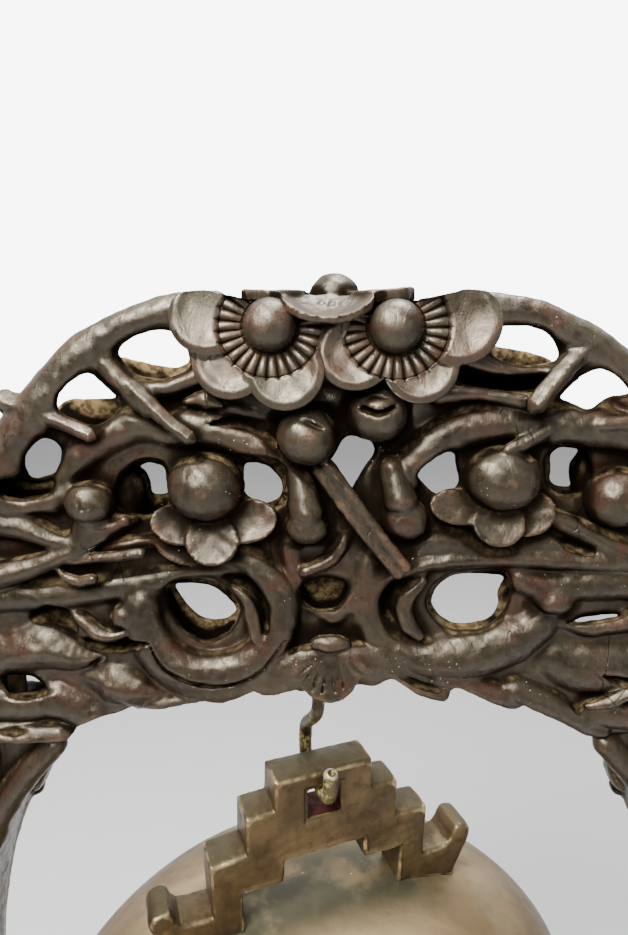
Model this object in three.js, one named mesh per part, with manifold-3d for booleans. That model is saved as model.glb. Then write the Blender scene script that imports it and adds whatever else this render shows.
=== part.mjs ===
// Bronze bell with a stepped crest, hung on a hook in a stand carved as plum branches.
// Millimetres, +Z up, +X to the right, +Y away from the viewer; the origin lies under the base's centre.
import * as THREE from 'three';
import { mergeVertices } from 'three/addons/utils/BufferGeometryUtils.js';
import Module from 'manifold-3d';

const wasm = await Module();
wasm.setup();

// Clearance between pieces that touch, and how far a carved facet may stray when small ones are merged.
const fit = 0.3;
const facetSlack = 0.2;

// Base.
const baseOverhang = 17;
const baseDepth = 180;
const footHeight = 40;
const footWidth = 26;
const footInset = 5;
const apronHeight = 24;
const apronThickness = 8;
const apronSetback = 3;
const waistHeight = 10;
const waistInset = 9;
const waistRail = 22;
const boardThickness = 14;
const boardBevel = 3;

// Posts.
const postOpening = 126;
const postWidth = 22;
const postDepth = 34;
const postBevel = 3.5;
const tenonWidth = 12;
const tenonDepth = 18;
const wedgeHeight = 10;
const wedgeWidth = 3.2;
const pegRadius = 4;
const pegLength = 32;

// Bell.
const bellTurn = THREE.MathUtils.degToRad(20.6);
const bellClearance = 34;
const bodyHeight = 170;
const domeHeight = 58.4;
const shoulderLength = 97.5;
const shoulderWidth = 78.3;
const domeFullness = 2.15;
const lipFlare = 2.5;
const lipHeight = 9;
const wall = 5;
const lipWall = 7;

// Crest: a stepped plate; widths are halves, drops are measured down from its top.
const crestThickness = 13.5;
const crestHeight = 49;
const treadHalf = [17, 27, 39];
const treadDrop = [10, 23.5, 43];
const hornReach = 58;
const hornRise = 6.5;
const hornWidth = 6.5;
const footReach = 51;
const archHalf = [14, 28];
const archDrop = [29, 37];
const eyeWidth = 11.5;
const eyeHeight = 10.5;
const eyeDrop = 5.6;
const eyeFrame = 1.4;
const eyeFrameDepth = 0.7;

// Hook.
const hookRadius = 2.25;
const hookOffset = -3.6;
const hookDrop = 38;
const hookThreadLength = 26;
const hookSetback = 12.6;
const hookJogLow = 4.5;
const hookJogHigh = 17;
const hookBend = 4;
const hookTipRise = 9;
const hookReach = 10.6;

// Crown: an arch carved right through, with a front and a back layer.
const crownDepth = 50;
const coreDepth = 32;
const coreBevel = 3;
const crownHeight = 127;
const crownRise = 17;
const seatInner = 80;
const seatOuter = 127;
const rimRadius = 4.4;
const limbRadius = 5;
const twigRadius = 2.6;
const scrollTube = 5.6;
const blossomRadius = 21;
const blossomThickness = 3.4;
const blossomBud = 7;
const topBlossomTilt = THREE.MathUtils.degToRad(17);
const notchCount = 14;

// Heights that follow from the stack.
const waistBottom = footHeight;
const boardBottom = waistBottom + waistHeight;
const boardTop = boardBottom + boardThickness;
const mouthZ = boardTop + bellClearance;
const domeTopZ = mouthZ + bodyHeight;
const crestTopZ = domeTopZ + crestHeight;
const seatZ = crestTopZ + hookDrop - crownRise;
const postHeight = seatZ - boardTop;
const postCentre = postOpening + postWidth / 2;
const baseLength = 2 * (postOpening + postWidth + baseOverhang);
const layerY = crownDepth / 2 - rimRadius;
const pegX = (seatInner + seatOuter) / 2;
const hookBoreTop = crownRise + hookThreadLength;
const pivotDrop = eyeDrop + fit + hookRadius;

// Turns a closed geometry into a solid for joining and cutting.
function solid(geometry) {
  const bare = geometry.clone();
  bare.deleteAttribute('normal');
  bare.deleteAttribute('uv');
  const merged = mergeVertices(bare, 1e-4);
  const corners = merged.index.array;
  const kept = [];
  for (let i = 0; i < corners.length; i += 3) {
    const [a, b, c] = [corners[i], corners[i + 1], corners[i + 2]];
    if (a !== b && b !== c && c !== a) kept.push(a, b, c);
  }
  return new wasm.Manifold(new wasm.Mesh({
    numProp: 3,
    vertProperties: merged.attributes.position.array,
    triVerts: Uint32Array.from(kept),
  }));
}

// Joins a list of solids into one.
function join(solids) {
  return solids.reduce((whole, next) => whole.add(next));
}

// Turns a solid back into a geometry with flat faces.
function geometryOf(body) {
  const mesh = body.getMesh();
  const geometry = new THREE.BufferGeometry();
  geometry.setAttribute('position', new THREE.BufferAttribute(Float32Array.from(mesh.vertProperties), 3));
  geometry.setIndex(new THREE.BufferAttribute(Uint32Array.from(mesh.triVerts), 1));
  const flat = geometry.toNonIndexed();
  flat.computeVertexNormals();
  return flat;
}

// An upright plate: the outline is drawn in X and Z, and the thickness is centred on Y = 0.
function plate(shape, thickness, bevel = 0, curveSegments = 4, bevelSegments = 1) {
  const geometry = new THREE.ExtrudeGeometry(shape, {
    depth: thickness - 2 * bevel,
    curveSegments,
    bevelEnabled: bevel > 0,
    bevelSize: bevel,
    bevelOffset: -bevel,
    bevelThickness: bevel,
    bevelSegments,
  });
  geometry.translate(0, 0, -thickness / 2 + bevel);
  geometry.rotateX(Math.PI / 2);
  return geometry;
}

// A lying plate: the outline is drawn in X and Y, and it rises from Z = 0.
function slab(shape, thickness, bevel = 0, curveSegments = 3) {
  const geometry = new THREE.ExtrudeGeometry(shape, {
    depth: thickness - 2 * bevel,
    curveSegments,
    bevelEnabled: bevel > 0,
    bevelSize: bevel,
    bevelOffset: -bevel,
    bevelThickness: bevel,
    bevelSegments: 1,
  });
  geometry.translate(0, 0, bevel);
  return geometry;
}

function box(width, depth, height, x, y, z) {
  const geometry = new THREE.BoxGeometry(width, depth, height);
  geometry.translate(x, y, z);
  return geometry;
}

// An upright rod from Z = low to Z = high.
function rod(radius, low, high, x, y, sides = 16) {
  const geometry = new THREE.CylinderGeometry(radius, radius, high - low, sides);
  geometry.rotateX(Math.PI / 2);
  geometry.translate(x, y, (low + high) / 2);
  return geometry;
}

// A round branch along a smooth path, tapering from its first radius to its last.
function branch(points, firstRadius, lastRadius, sides = 6, steps = points.length) {
  const path = new THREE.CatmullRomCurve3(points.map((p) => new THREE.Vector3(...p)));
  const frames = path.computeFrenetFrames(steps);
  const geometry = new THREE.CylinderGeometry(1, 1, 1, sides, steps);
  const position = geometry.attributes.position;
  const vertex = new THREE.Vector3();
  for (let i = 0; i < position.count; i += 1) {
    vertex.fromBufferAttribute(position, i);
    const step = Math.round((0.5 - vertex.y) * steps);
    const radius = THREE.MathUtils.lerp(firstRadius, lastRadius, step / steps);
    const place = path.getPointAt(step / steps);
    place.addScaledVector(frames.normals[step], vertex.x * radius);
    place.addScaledVector(frames.binormals[step], vertex.z * radius);
    position.setXYZ(i, place.x, place.y, place.z);
  }
  return geometry;
}

// Points on an arc in the plane Y = y; angles are in degrees, and the radius may change along it.
function arc(x, z, firstRadius, lastRadius, firstAngle, lastAngle, y, side = 1, count = 6) {
  const points = [];
  for (let i = 0; i < count; i += 1) {
    const angle = THREE.MathUtils.degToRad(THREE.MathUtils.lerp(firstAngle, lastAngle, i / (count - 1)));
    const radius = THREE.MathUtils.lerp(firstRadius, lastRadius, i / (count - 1));
    points.push([side * (x + radius * Math.cos(angle)), y, z + radius * Math.sin(angle)]);
  }
  return points;
}

function bud(x, y, z, radius, flat = 1, sides = 7) {
  const geometry = new THREE.SphereGeometry(radius, sides, sides - 3);
  geometry.scale(1, flat, 1);
  geometry.translate(x, y, z);
  return geometry;
}

// A five-lobed outline, drawn by a formula.
function lobedShape(radius, lobes = 5, turn = 0) {
  const points = [];
  const count = lobes * 4;
  for (let i = 0; i < count; i += 1) {
    const angle = (2 * Math.PI * i) / count;
    const swell = 0.8 + 0.2 * Math.sqrt(Math.abs(Math.cos((lobes * (angle - turn)) / 2)));
    points.push(new THREE.Vector2(radius * swell * Math.cos(angle), radius * swell * Math.sin(angle)));
  }
  return new THREE.Shape(points);
}

// A ring of radial notches round a flower's middle.
function notchedShape(radius) {
  const points = [];
  for (let i = 0; i < notchCount; i += 1) {
    for (const [share, reach] of [[0, 1], [0.55, 1], [0.62, 0.72], [0.93, 0.72]]) {
      const angle = (2 * Math.PI * (i + share)) / notchCount;
      points.push(new THREE.Vector2(radius * reach * Math.cos(angle), radius * reach * Math.sin(angle)));
    }
  }
  return new THREE.Shape(points);
}

// An open plum blossom that faces -Y: lobed petals, a notched ring of stamens and a round middle.
function blossom(radius, turn) {
  const petals = solid(plate(lobedShape(radius, 5, turn), blossomThickness, 1));
  const ring = solid(plate(notchedShape(radius * 0.56), 2.4));
  const middle = solid(bud(0, -blossomThickness / 2, 0, blossomBud, 0.8, 7));
  return join([petals, ring.translate(0, -blossomThickness / 2, 0), middle]);
}

// The carving's places are drawn for a crown 127 high and 254 wide; these stretch them to its real size.
const wide = (x) => (x * seatOuter) / 127;
const high = (z) => (z * crownHeight) / 127;
const scrollCentre = [wide(33), high(40.5)];
const scrollRadius = high(21);

// Openings through the crown: [x, z, half width, half height] above the seat, as drawn.
const crownHoles = [
  [-48, 114, 9.5, 6],
  [-66, 104, 7.5, 5.5],
  [-80, 82.5, 5.5, 9.5],
  [-50, 76, 4, 9],
  [-19.5, 75, 5.8, 10],
  [4, 79, 7, 12],
  [29.5, 77.5, 6.5, 10.5],
  [63, 79, 4.5, 9.5],
  [50, 117, 8.5, 4.5],
  [70, 104, 9, 7],
  [-38.5, 37.5, 11, 12.5],
  [38.5, 37.5, 11, 13.5],
  [-92, 13, 7, 8],
  [77, 31, 8, 6.5],
  [-104, 56, 6, 9],
  [104, 56, 6, 9],
];

// Buds in the round: [x, z, radius] above the seat, as drawn.
const crownBuds = [
  [-7, 92, 9],
  [12, 97, 8.2],
  [-35, 78, 10.4],
  [48, 82, 11],
  [-67, 71, 7.7],
  [19, 71, 7.4],
  [-8, 71, 6],
  [77, 76, 8.2],
  [-92, 38, 7],
  [92, 36, 7],
];

// An oval cutter along Y, wider towards both faces of the crown, so that the opening's edges are rounded.
function waistedHole(halfWidth, halfHeight) {
  const profile = [[0, -1], [1.3, -1], [1.3, -0.5], [1, 0], [1.3, 0.5], [1.3, 1], [0, 1]]
    .map(([radius, share]) => new THREE.Vector2(radius, share * coreDepth));
  const geometry = new THREE.LatheGeometry(profile, 10);
  geometry.scale(halfWidth, 1, halfHeight);
  return solid(geometry);
}

function crownCore() {
  const shape = new THREE.Shape();
  shape.moveTo(-seatInner, 0);
  shape.lineTo(-seatOuter, 0);
  const upper = [[-121, 30], [-112, 54], [-100, 76], [-84, 96], [-66, 112], [-44, 121], [-20, 124],
    [20, 124], [44, 121], [66, 112], [84, 96], [100, 76], [112, 54], [121, 30], [127, 0]];
  shape.splineThru(upper.map(([x, z]) => new THREE.Vector2(wide(x), high(z))));
  shape.lineTo(seatInner, 0);
  const lower = [[0.85, 0.59], [0.55, 0.82], [0.25, 1.18], [0, 1], [-0.25, 1.18], [-0.55, 0.82],
    [-0.85, 0.59], [-1, 0]];
  shape.splineThru(lower.map(([x, z]) => new THREE.Vector2(x * seatInner, z * crownRise)));
  const cuts = crownHoles.map(([x, z, halfWidth, halfHeight]) => (
    waistedHole(wide(halfWidth), high(halfHeight)).translate(wide(x), 0, high(z))));
  return solid(plate(shape, coreDepth, coreBevel, 2)).subtract(join(cuts));
}

// The branches, scrolls and buds on one face of the crown: -1 is the front, +1 the plainer back.
function crownFace(face) {
  const deep = face * layerY;
  const mid = face * (coreDepth / 2);
  const parts = [];
  const add = (geometry) => parts.push(solid(geometry));
  for (const side of [-1, 1]) {
    const at = (x, z, y = deep) => [side * wide(x), y, high(z)];
    add(branch([at(24, 123), at(44, 122.5), at(58, 118.5), at(70, 110), at(82, 99), at(95, 83), at(107, 62),
      at(116, 36), at(120, 8)], rimRadius, rimRadius * 1.5));
    add(branch([at(12, 48, mid), at(24, 58), at(48, 60), at(70, 55), at(92, 50), at(113, 40)],
      limbRadius, limbRadius * 1.3));
    add(branch([at(18, 24, mid), at(36, 21), at(56, 17), at(78, 10), at(98, 8), at(112, 12)],
      limbRadius, limbRadius * 1.4));
    const turns = arc(...scrollCentre, scrollRadius, scrollRadius * 0.76, 75, 330, deep, side, 9);
    add(branch(turns, scrollTube * 0.6, scrollTube, 6, 8));
    if (face > 0) continue;
    const lining = arc(wide(38.5), high(37.5), high(14), high(14), 115, 245, deep, side);
    add(branch(lining, scrollTube * 0.3, scrollTube * 0.5, 5, 5));
    add(branch([at(34, 20), at(26, 17), at(31, 13.5)], limbRadius * 0.8, limbRadius / 4, 5));
    add(branch([at(56, 17), at(48, 12), at(55, 8.5)], limbRadius * 0.9, limbRadius / 4, 5));
  }
  const on = (x, z, y = deep) => [wide(x), y, high(z)];
  add(branch([on(-108, 46), on(-93, 62), on(-78, 69), on(-69, 82), on(-60, 92), on(-44, 92), on(-29, 90),
    on(-15, 84), on(-9, 72, mid)], limbRadius * 1.3, limbRadius * 0.7));
  add(branch([on(108, 50), on(96, 72), on(84, 90), on(66, 93), on(50, 93), on(36, 93), on(24, 86),
    on(15, 75), on(11, 64, mid)], limbRadius * 1.3, limbRadius * 0.8));
  for (const [x, z, drawnRadius] of face < 0 ? crownBuds : crownBuds.filter((entry) => entry[2] > 8)) {
    const radius = high(drawnRadius);
    add(bud(wide(x), face * (crownDepth / 2 - radius * 0.7), high(z), radius, 0.9));
  }
  return parts;
}

// What only the front has: the blossoms, cut twigs, small petals and the half flower over the hook.
function crownFlowers() {
  const front = -layerY;
  const parts = [];
  const trimZ = high(130) - blossomRadius;
  const trim = solid(box(4 * blossomRadius, crownDepth, 2 * blossomRadius, 0, front, trimZ));
  for (const [x, turn] of [[-16.5, 2.6], [16.5, 0.2]]) {
    const open = blossom(blossomRadius, turn).translate(wide(x), -crownDepth / 2, high(121.5));
    parts.push(open.intersect(trim));
  }
  const lie = THREE.MathUtils.radToDeg(topBlossomTilt) - 90;
  const top = blossom(blossomRadius * 1.1, Math.PI / 2).rotate([lie, 0, 0]);
  parts.push(top.translate(0, front / 3, high(128.5)));
  const add = (geometry) => parts.push(solid(geometry));
  // A twig stands out a little from the front, each point by its own share of its radius.
  const twig = (...points) => points.map(([x, z, rise]) => [wide(x), front - rise * twigRadius, high(z)]);
  add(branch(twig([-67, 117, 0], [-53, 105, 0.8], [-38, 92, 1.5]), twigRadius, twigRadius, 5));
  add(branch(twig([-84, 97, 0], [-73, 95.5, 0.8], [-63, 92, 1.3]), twigRadius, twigRadius, 5));
  add(branch(twig([71, 116, 0], [62, 109, 0.8], [51, 99, 1.5]), twigRadius, twigRadius * 1.15, 5));
  add(branch(twig([62, 109.5, 0.4], [50, 110, 0], [38, 113, 0]), twigRadius, twigRadius, 5));
  add(branch(twig([-4, 85, 0], [8, 70, 1.5], [20, 54, 1.2]), twigRadius, twigRadius * 1.15, 5));
  add(branch(twig([14, 88, -1.8], [7, 75, -1.8], [-2, 61, -1.8]), twigRadius, twigRadius, 5));
  add(branch(twig([-84, 57, 0], [-68, 58.5, 1], [-52, 60.5, 1.3]), twigRadius, twigRadius, 5));
  for (const [x, z] of [[-45, 66], [-35, 61], [-23, 66], [57, 70], [48, 65], [38, 70]]) {
    add(bud(wide(x), front - 0.5, high(z), high(6.4), 0.45, 6));
  }
  const fan = solid(plate(lobedShape(high(16), 7, -Math.PI / 2), high(8), 1.2));
  parts.push(fan.translate(0, front + 1, high(29)));
  add(bud(0, front - 2, high(34), high(6), 0.6));
  return parts;
}

// The crown is one piece; the few tiny closed bubbles where round branches cross are left out.
function crownSolid() {
  let crown = join([crownCore(), ...crownFace(-1), ...crownFace(1), ...crownFlowers()]);
  const belowSeat = solid(box(2 * seatOuter + 40, 2 * crownDepth, 40, 0, 0, -20 + fit));
  crown = crown.subtract(belowSeat);
  crown = crown.subtract(solid(rod(hookRadius + fit, -1, hookBoreTop + fit, hookOffset, 0)));
  for (const side of [-1, 1]) {
    crown = crown.subtract(solid(rod(pegRadius + fit, -1, pegLength / 2 + fit, side * pegX, 0)));
  }
  const bySize = crown.simplify(facetSlack).decompose().sort((a, b) => b.volume() - a.volume());
  return bySize[0];
}

// The wedge in a tenon's lower end, grown by a clearance; its wide end lies flush under the board.
function wedge(clearance) {
  const half = wedgeWidth / 2 + clearance;
  const shape = new THREE.Shape();
  shape.moveTo(-half, fit - clearance * 2);
  shape.lineTo(half, fit - clearance * 2);
  shape.lineTo(half * 0.5, wedgeHeight + clearance);
  shape.lineTo(-half * 0.5, wedgeHeight + clearance);
  return plate(shape, tenonDepth + 4 * clearance);
}

// A post, its height measured up from the base board; the inner side faces X = 0.
function postSolid(side) {
  const outer = postOpening + postWidth;
  const top = postHeight - fit;
  const point = (x, z) => new THREE.Vector2(side * x, z);
  const spare = 2 * postBevel;
  const shape = new THREE.Shape();
  shape.moveTo(side * postOpening, -spare);
  shape.splineThru([point(postOpening + 1, postHeight * 0.28), point(postOpening - 1, postHeight * 0.5),
    point(postOpening - 6, top - 84), point(postOpening - 16, top - 48), point(seatInner + 16, top - 20),
    point(seatInner - 6, top + spare)]);
  shape.lineTo(side * (seatOuter - 2), top + spare);
  shape.splineThru([point(seatOuter + 9, top - 40), point(outer - 2, top - 92),
    point(outer + 1, postHeight * 0.45), point(outer - 1, postHeight * 0.2), point(outer, -spare)]);
  const parts = [solid(plate(shape, postDepth, postBevel, 3))];
  for (const face of [-1, 1]) {
    const at = (x, z) => [side * x, face * (postDepth / 2), z];
    const add = (geometry) => parts.push(solid(geometry));
    add(branch([at(postCentre + 5, 10), at(postCentre - 2, postHeight * 0.22),
      at(postCentre + 3, postHeight * 0.42), at(postCentre - 6, top - 90), at(postCentre - 18, top - 50),
      at(seatOuter - 20, top - 12)], limbRadius * 1.3, limbRadius));
    add(branch([at(postCentre - 5, 10), at(postCentre + 4, postHeight * 0.2),
      at(postCentre - 4, postHeight * 0.36), at(postCentre + 1, postHeight * 0.55),
      at(postCentre - 3, top - 66), at(seatOuter - 6, top - 14)], limbRadius, limbRadius * 0.8));
    add(bud(...at(postCentre + 2, postHeight * 0.6), 7, 1, 7));
    add(bud(...at(postCentre - 1, postHeight * 0.3), 6, 1, 7));
    add(bud(...at(seatInner + 26, top - 34), 7, 1, 7));
  }
  let post = join(parts);
  const reach = 4 * outer;
  post = post.subtract(solid(box(reach, 2 * crownDepth, 40, 0, 0, top + 20)));
  post = post.subtract(solid(box(reach, 2 * crownDepth, 40, 0, 0, fit - 20)));
  const tenonLow = fit - boardThickness;
  const tenonMiddle = (2 + tenonLow) / 2;
  post = post.add(solid(box(tenonWidth, tenonDepth, 2 - tenonLow, side * postCentre, 0, tenonMiddle)));
  post = post.subtract(solid(wedge(fit)).translate(side * postCentre, 0, -boardThickness));
  return post.subtract(solid(rod(pegRadius + fit, top - pegLength / 2 - fit, top + 1, side * pegX, 0)));
}

function roundedRectangle(length, depth, radius) {
  const [x, y] = [length / 2, depth / 2];
  const shape = new THREE.Shape();
  shape.absarc(x - radius, -y + radius, radius, -Math.PI / 2, 0);
  shape.absarc(x - radius, y - radius, radius, 0, Math.PI / 2);
  shape.absarc(-x + radius, y - radius, radius, Math.PI / 2, Math.PI);
  shape.absarc(-x + radius, -y + radius, radius, Math.PI, 1.5 * Math.PI);
  return shape;
}

// The board that the posts stand on, with a mortise for each post's tenon.
function baseBoard() {
  let body = solid(slab(roundedRectangle(baseLength, baseDepth, 10), boardThickness - fit, boardBevel));
  for (const side of [-1, 1]) {
    const [width, depth] = [tenonWidth + 2 * fit, tenonDepth + 2 * fit];
    const mortise = box(width, depth, 4 * boardThickness, side * postCentre, 0, 0);
    body = body.subtract(solid(mortise));
  }
  return geometryOf(body);
}

// The recessed waist under the board: a frame with its middle open.
function baseWaist() {
  const length = baseLength - 2 * waistInset;
  const depth = baseDepth - 2 * waistInset;
  const whole = solid(slab(roundedRectangle(length, depth, 6), waistHeight - fit));
  const middle = box(length - 2 * waistRail, depth - 2 * waistRail, 4 * waistHeight, 0, 0, 0);
  return geometryOf(whole.subtract(solid(middle)));
}

// An apron between two feet, with a cusped lower edge.
function apron(length) {
  const half = length / 2;
  const low = footHeight - apronHeight;
  const top = footHeight - fit;
  const shape = new THREE.Shape();
  shape.moveTo(-half, top);
  shape.lineTo(-half, low);
  shape.quadraticCurveTo(-half + 12, low, -half + 16, low + 8);
  shape.lineTo(-14, low + 8);
  shape.quadraticCurveTo(-8, low + 8, 0, low);
  shape.quadraticCurveTo(8, low + 8, 14, low + 8);
  shape.lineTo(half - 16, low + 8);
  shape.quadraticCurveTo(half - 12, low, half, low);
  shape.lineTo(half, top);
  return plate(shape, apronThickness, 0, 6);
}

// A corner foot with the same curve on both outer faces; its corner is the origin, outward to +X and +Y.
function footSolid() {
  const profile = new THREE.Shape();
  profile.moveTo(-footWidth, footHeight - fit);
  profile.lineTo(0, footHeight - fit);
  profile.quadraticCurveTo(1, footHeight * 0.62, -3, footHeight * 0.42);
  profile.quadraticCurveTo(-6, footHeight * 0.2, 2, 0);
  profile.lineTo(-footWidth * 0.5, 0);
  profile.quadraticCurveTo(-footWidth * 0.62, footHeight * 0.3, -footWidth, footHeight - apronHeight);
  const across = solid(plate(profile, 2 * footWidth + 20, 0, 5));
  return across.intersect(across.rotate([0, 0, 90]));
}

// Radius of the bell's long side at a height over the mouth; inset is the wall left outside it.
function bellRadius(height, inset) {
  const shoulder = bodyHeight - domeHeight;
  const reach = shoulderLength - inset;
  if (height <= shoulder) {
    const flare = Math.max(0, 1 - height / (3 * lipHeight));
    return reach + lipFlare * flare * flare;
  }
  const share = Math.min(1, (height - shoulder) / (domeHeight - inset));
  return reach * (1 - share ** domeFullness) ** (1 / domeFullness);
}

// The oval form inside the bell's skin at an inset, from a low height up to its top.
function bellForm(inset, low, around = 40, domeSteps = 6) {
  const shoulder = bodyHeight - domeHeight;
  const heights = [low, lipHeight, 2 * lipHeight, 3 * lipHeight, shoulder];
  for (let i = 1; i < domeSteps; i += 1) {
    heights.push(shoulder + (domeHeight - inset) * Math.sin((i / domeSteps) * (Math.PI / 2)));
  }
  const profile = [new THREE.Vector2(0, low)];
  for (const height of heights) profile.push(new THREE.Vector2(bellRadius(height, inset), height));
  profile.push(new THREE.Vector2(0, bodyHeight - inset));
  const geometry = new THREE.LatheGeometry(profile, around);
  geometry.rotateX(Math.PI / 2);
  geometry.scale(1, (shoulderWidth - inset) / (shoulderLength - inset), 1);
  return solid(geometry);
}

// The shell is open below; its wall is thicker round the lip.
function bellShell() {
  const lip = bellForm(lipWall, -1);
  const lowPart = solid(box(4 * shoulderLength, 4 * shoulderLength, 4 * lipHeight, 0, 0, 0));
  const inside = bellForm(wall, lipHeight).add(lip.intersect(lowPart));
  return bellForm(0, 0).subtract(inside);
}

// The crest's outline, its top at Z = 0; the feet run on down into the dome and are cut to it.
function crestShape() {
  const half = [
    [treadHalf[0], 0], [treadHalf[0] + 0.5, -treadDrop[0]],
    [treadHalf[1], -treadDrop[0] - 0.6], [treadHalf[1], -treadDrop[1]],
    [treadHalf[2], -treadDrop[1] - 1], [treadHalf[2] - 0.7, -treadDrop[2]],
  ];
  const hornTop = hornRise - treadDrop[2];
  const hornInner = hornReach - hornWidth;
  const low = -crestHeight - domeHeight / 3;
  const shape = new THREE.Shape();
  const to = (x, z) => shape.lineTo(x, z);
  shape.moveTo(-treadHalf[0], 0);
  for (const [x, z] of half) to(x, z);
  to(hornInner - 7, -treadDrop[2]);
  shape.quadraticCurveTo(hornInner - 1, -treadDrop[2], hornInner, hornTop + 0.6);
  to(hornReach, hornTop);
  to(footReach, -crestHeight - 6);
  to(footReach, low);
  to(archHalf[1] - 1, low);
  to(archHalf[1] + 0.6, -archDrop[1]);
  to(archHalf[0] + 0.6, -archDrop[1] + 0.3);
  to(archHalf[0], -archDrop[0]);
  to(-archHalf[0], -archDrop[0]);
  to(-archHalf[0] - 0.6, -archDrop[1] + 0.3);
  to(-archHalf[1] - 0.6, -archDrop[1]);
  to(-archHalf[1] + 1, low);
  to(-footReach, low);
  to(-footReach, -crestHeight - 6);
  to(-hornReach, hornTop);
  to(-hornInner, hornTop + 0.6);
  shape.quadraticCurveTo(-hornInner + 1, -treadDrop[2], -hornInner + 7, -treadDrop[2]);
  for (const [x, z] of half.slice(1).reverse()) to(-x, z);
  return shape;
}

function bellCrest() {
  let crest = solid(plate(crestShape(), crestThickness, 0, 4)).translate(0, 0, bodyHeight + crestHeight);
  const eyeZ = bodyHeight + crestHeight - eyeDrop - eyeHeight / 2;
  crest = crest.subtract(solid(box(eyeWidth, 2 * crestThickness, eyeHeight, 0, 0, eyeZ)));
  for (const face of [-1, 1]) {
    const y = face * (crestThickness / 2);
    const width = eyeWidth + 2 * eyeFrame;
    const height = eyeHeight + 2 * eyeFrame;
    crest = crest.subtract(solid(box(width, 2 * eyeFrameDepth, height, 0, y, eyeZ)));
  }
  return crest.subtract(bellForm(-fit, 0));
}

// The hook lies in the plane X = 0 of its own group: back over the crest, down, and forward through the eye.
function hookSolid() {
  const pivotZ = crestTopZ - pivotDrop;
  const screwTop = seatZ + hookBoreTop;
  const shank = [
    [0, 0, screwTop - 4], [0, 0, seatZ + crownRise], [0, 0, crestTopZ + hookJogHigh + 3],
    [0, 1, crestTopZ + hookJogHigh - 1], [0, hookSetback - 1.2, crestTopZ + hookJogLow + 2.5],
    [0, hookSetback, crestTopZ + hookJogLow - 1.5], [0, hookSetback, pivotZ + hookBend],
    [0, hookSetback - hookBend * 0.3, pivotZ + hookBend * 0.3], [0, hookSetback - hookBend, pivotZ],
    [0, 0, pivotZ], [0, hookBend - hookReach, pivotZ],
    [0, hookBend * 0.3 - hookReach, pivotZ + hookBend * 0.3], [0, -hookReach, pivotZ + hookBend],
  ];
  const tip = [[0, -hookReach, pivotZ + hookBend - 1], [0, -hookReach, pivotZ + hookBend + 1],
    [0, -hookReach, pivotZ + hookTipRise - 1.5]];
  const point = new THREE.ConeGeometry(hookRadius, 5, 8);
  point.rotateX(Math.PI / 2);
  point.translate(0, 0, screwTop - 2);
  return join([
    solid(branch(shank, hookRadius, hookRadius, 7, 24)),
    solid(branch(tip, hookRadius, hookRadius * 0.8, 7, 2)),
    solid(bud(0, -hookReach, pivotZ + hookTipRise - 1.7, hookRadius * 0.8, 1, 7)),
    solid(point),
  ]);
}

// Materials.
const carvedWood = { color: 0x3b302a, roughness: 0.5, metalness: 0.0 };
const plainWood = { color: 0x33271f, roughness: 0.5, metalness: 0.0 };
const bareWood = { color: 0x6b4f35, roughness: 0.8, metalness: 0.0 };
const bronze = { color: 0x7d6b48, roughness: 0.42, metalness: 0.9 };
const crestBronze = { color: 0x6e5a42, roughness: 0.5, metalness: 0.9 };
const hookBrass = { color: 0x6a6338, roughness: 0.55, metalness: 0.9 };

function piece(name, geometry, look) {
  const mesh = new THREE.Mesh(geometry, new THREE.MeshStandardMaterial(look));
  mesh.name = name;
  return mesh;
}

const object = new THREE.Group();

const stand = new THREE.Group();
const crown = piece('crown', geometryOf(crownSolid()), carvedWood);
crown.position.z = seatZ;
stand.add(crown);
for (const [name, side] of [['left', -1], ['right', 1]]) {
  const post = piece(`${name}_post`, geometryOf(postSolid(side)), carvedWood);
  post.position.z = boardTop;
  stand.add(post);
  const peg = rod(pegRadius, -pegLength / 2, pegLength / 2, 0, 0, 12);
  const crownPeg = piece(`${name}_crown_peg`, peg, bareWood);
  crownPeg.position.set(side * pegX, 0, seatZ);
  stand.add(crownPeg);
  const tenonWedge = piece(`${name}_tenon_wedge`, wedge(0), bareWood);
  tenonWedge.position.set(side * postCentre, 0, boardBottom);
  stand.add(tenonWedge);
}
object.add(stand);

const base = new THREE.Group();
const board = piece('base_board', baseBoard(), plainWood);
board.position.z = boardBottom;
base.add(board);
const waist = piece('base_waist', baseWaist(), plainWood);
waist.position.z = waistBottom;
base.add(waist);
const footX = baseLength / 2 - footInset;
const footY = baseDepth / 2 - footInset;
for (const [name, sideY] of [['front', -1], ['back', 1]]) {
  const face = piece(`${name}_apron`, apron(2 * (footX - footWidth - fit)), plainWood);
  face.position.y = sideY * (footY - apronSetback - apronThickness / 2);
  base.add(face);
  for (const [sideName, sideX] of [['left', -1], ['right', 1]]) {
    const shape = geometryOf(footSolid().scale([sideX, sideY, 1]));
    const foot = piece(`${name}_${sideName}_foot`, shape, plainWood);
    foot.position.set(sideX * footX, sideY * footY, 0);
    base.add(foot);
  }
}
for (const [name, side] of [['left', -1], ['right', 1]]) {
  const end = piece(`${name}_apron`, apron(2 * (footY - footWidth - fit)), plainWood);
  end.rotation.z = Math.PI / 2;
  end.position.x = side * (footX - apronSetback - apronThickness / 2);
  base.add(end);
}
object.add(base);

const hanging = new THREE.Group();
hanging.position.x = hookOffset;
hanging.rotation.z = bellTurn;
hanging.add(piece('hook', geometryOf(hookSolid()), hookBrass));
const shell = piece('bell_shell', geometryOf(bellShell()), bronze);
shell.position.z = mouthZ;
const crest = piece('bell_crest', geometryOf(bellCrest()), crestBronze);
crest.position.z = mouthZ;
hanging.add(shell, crest);
object.add(hanging);

export default object;
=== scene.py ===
import math
import bmesh
import bpy
import numpy as np
from mathutils import Euler, Matrix, Vector


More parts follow.
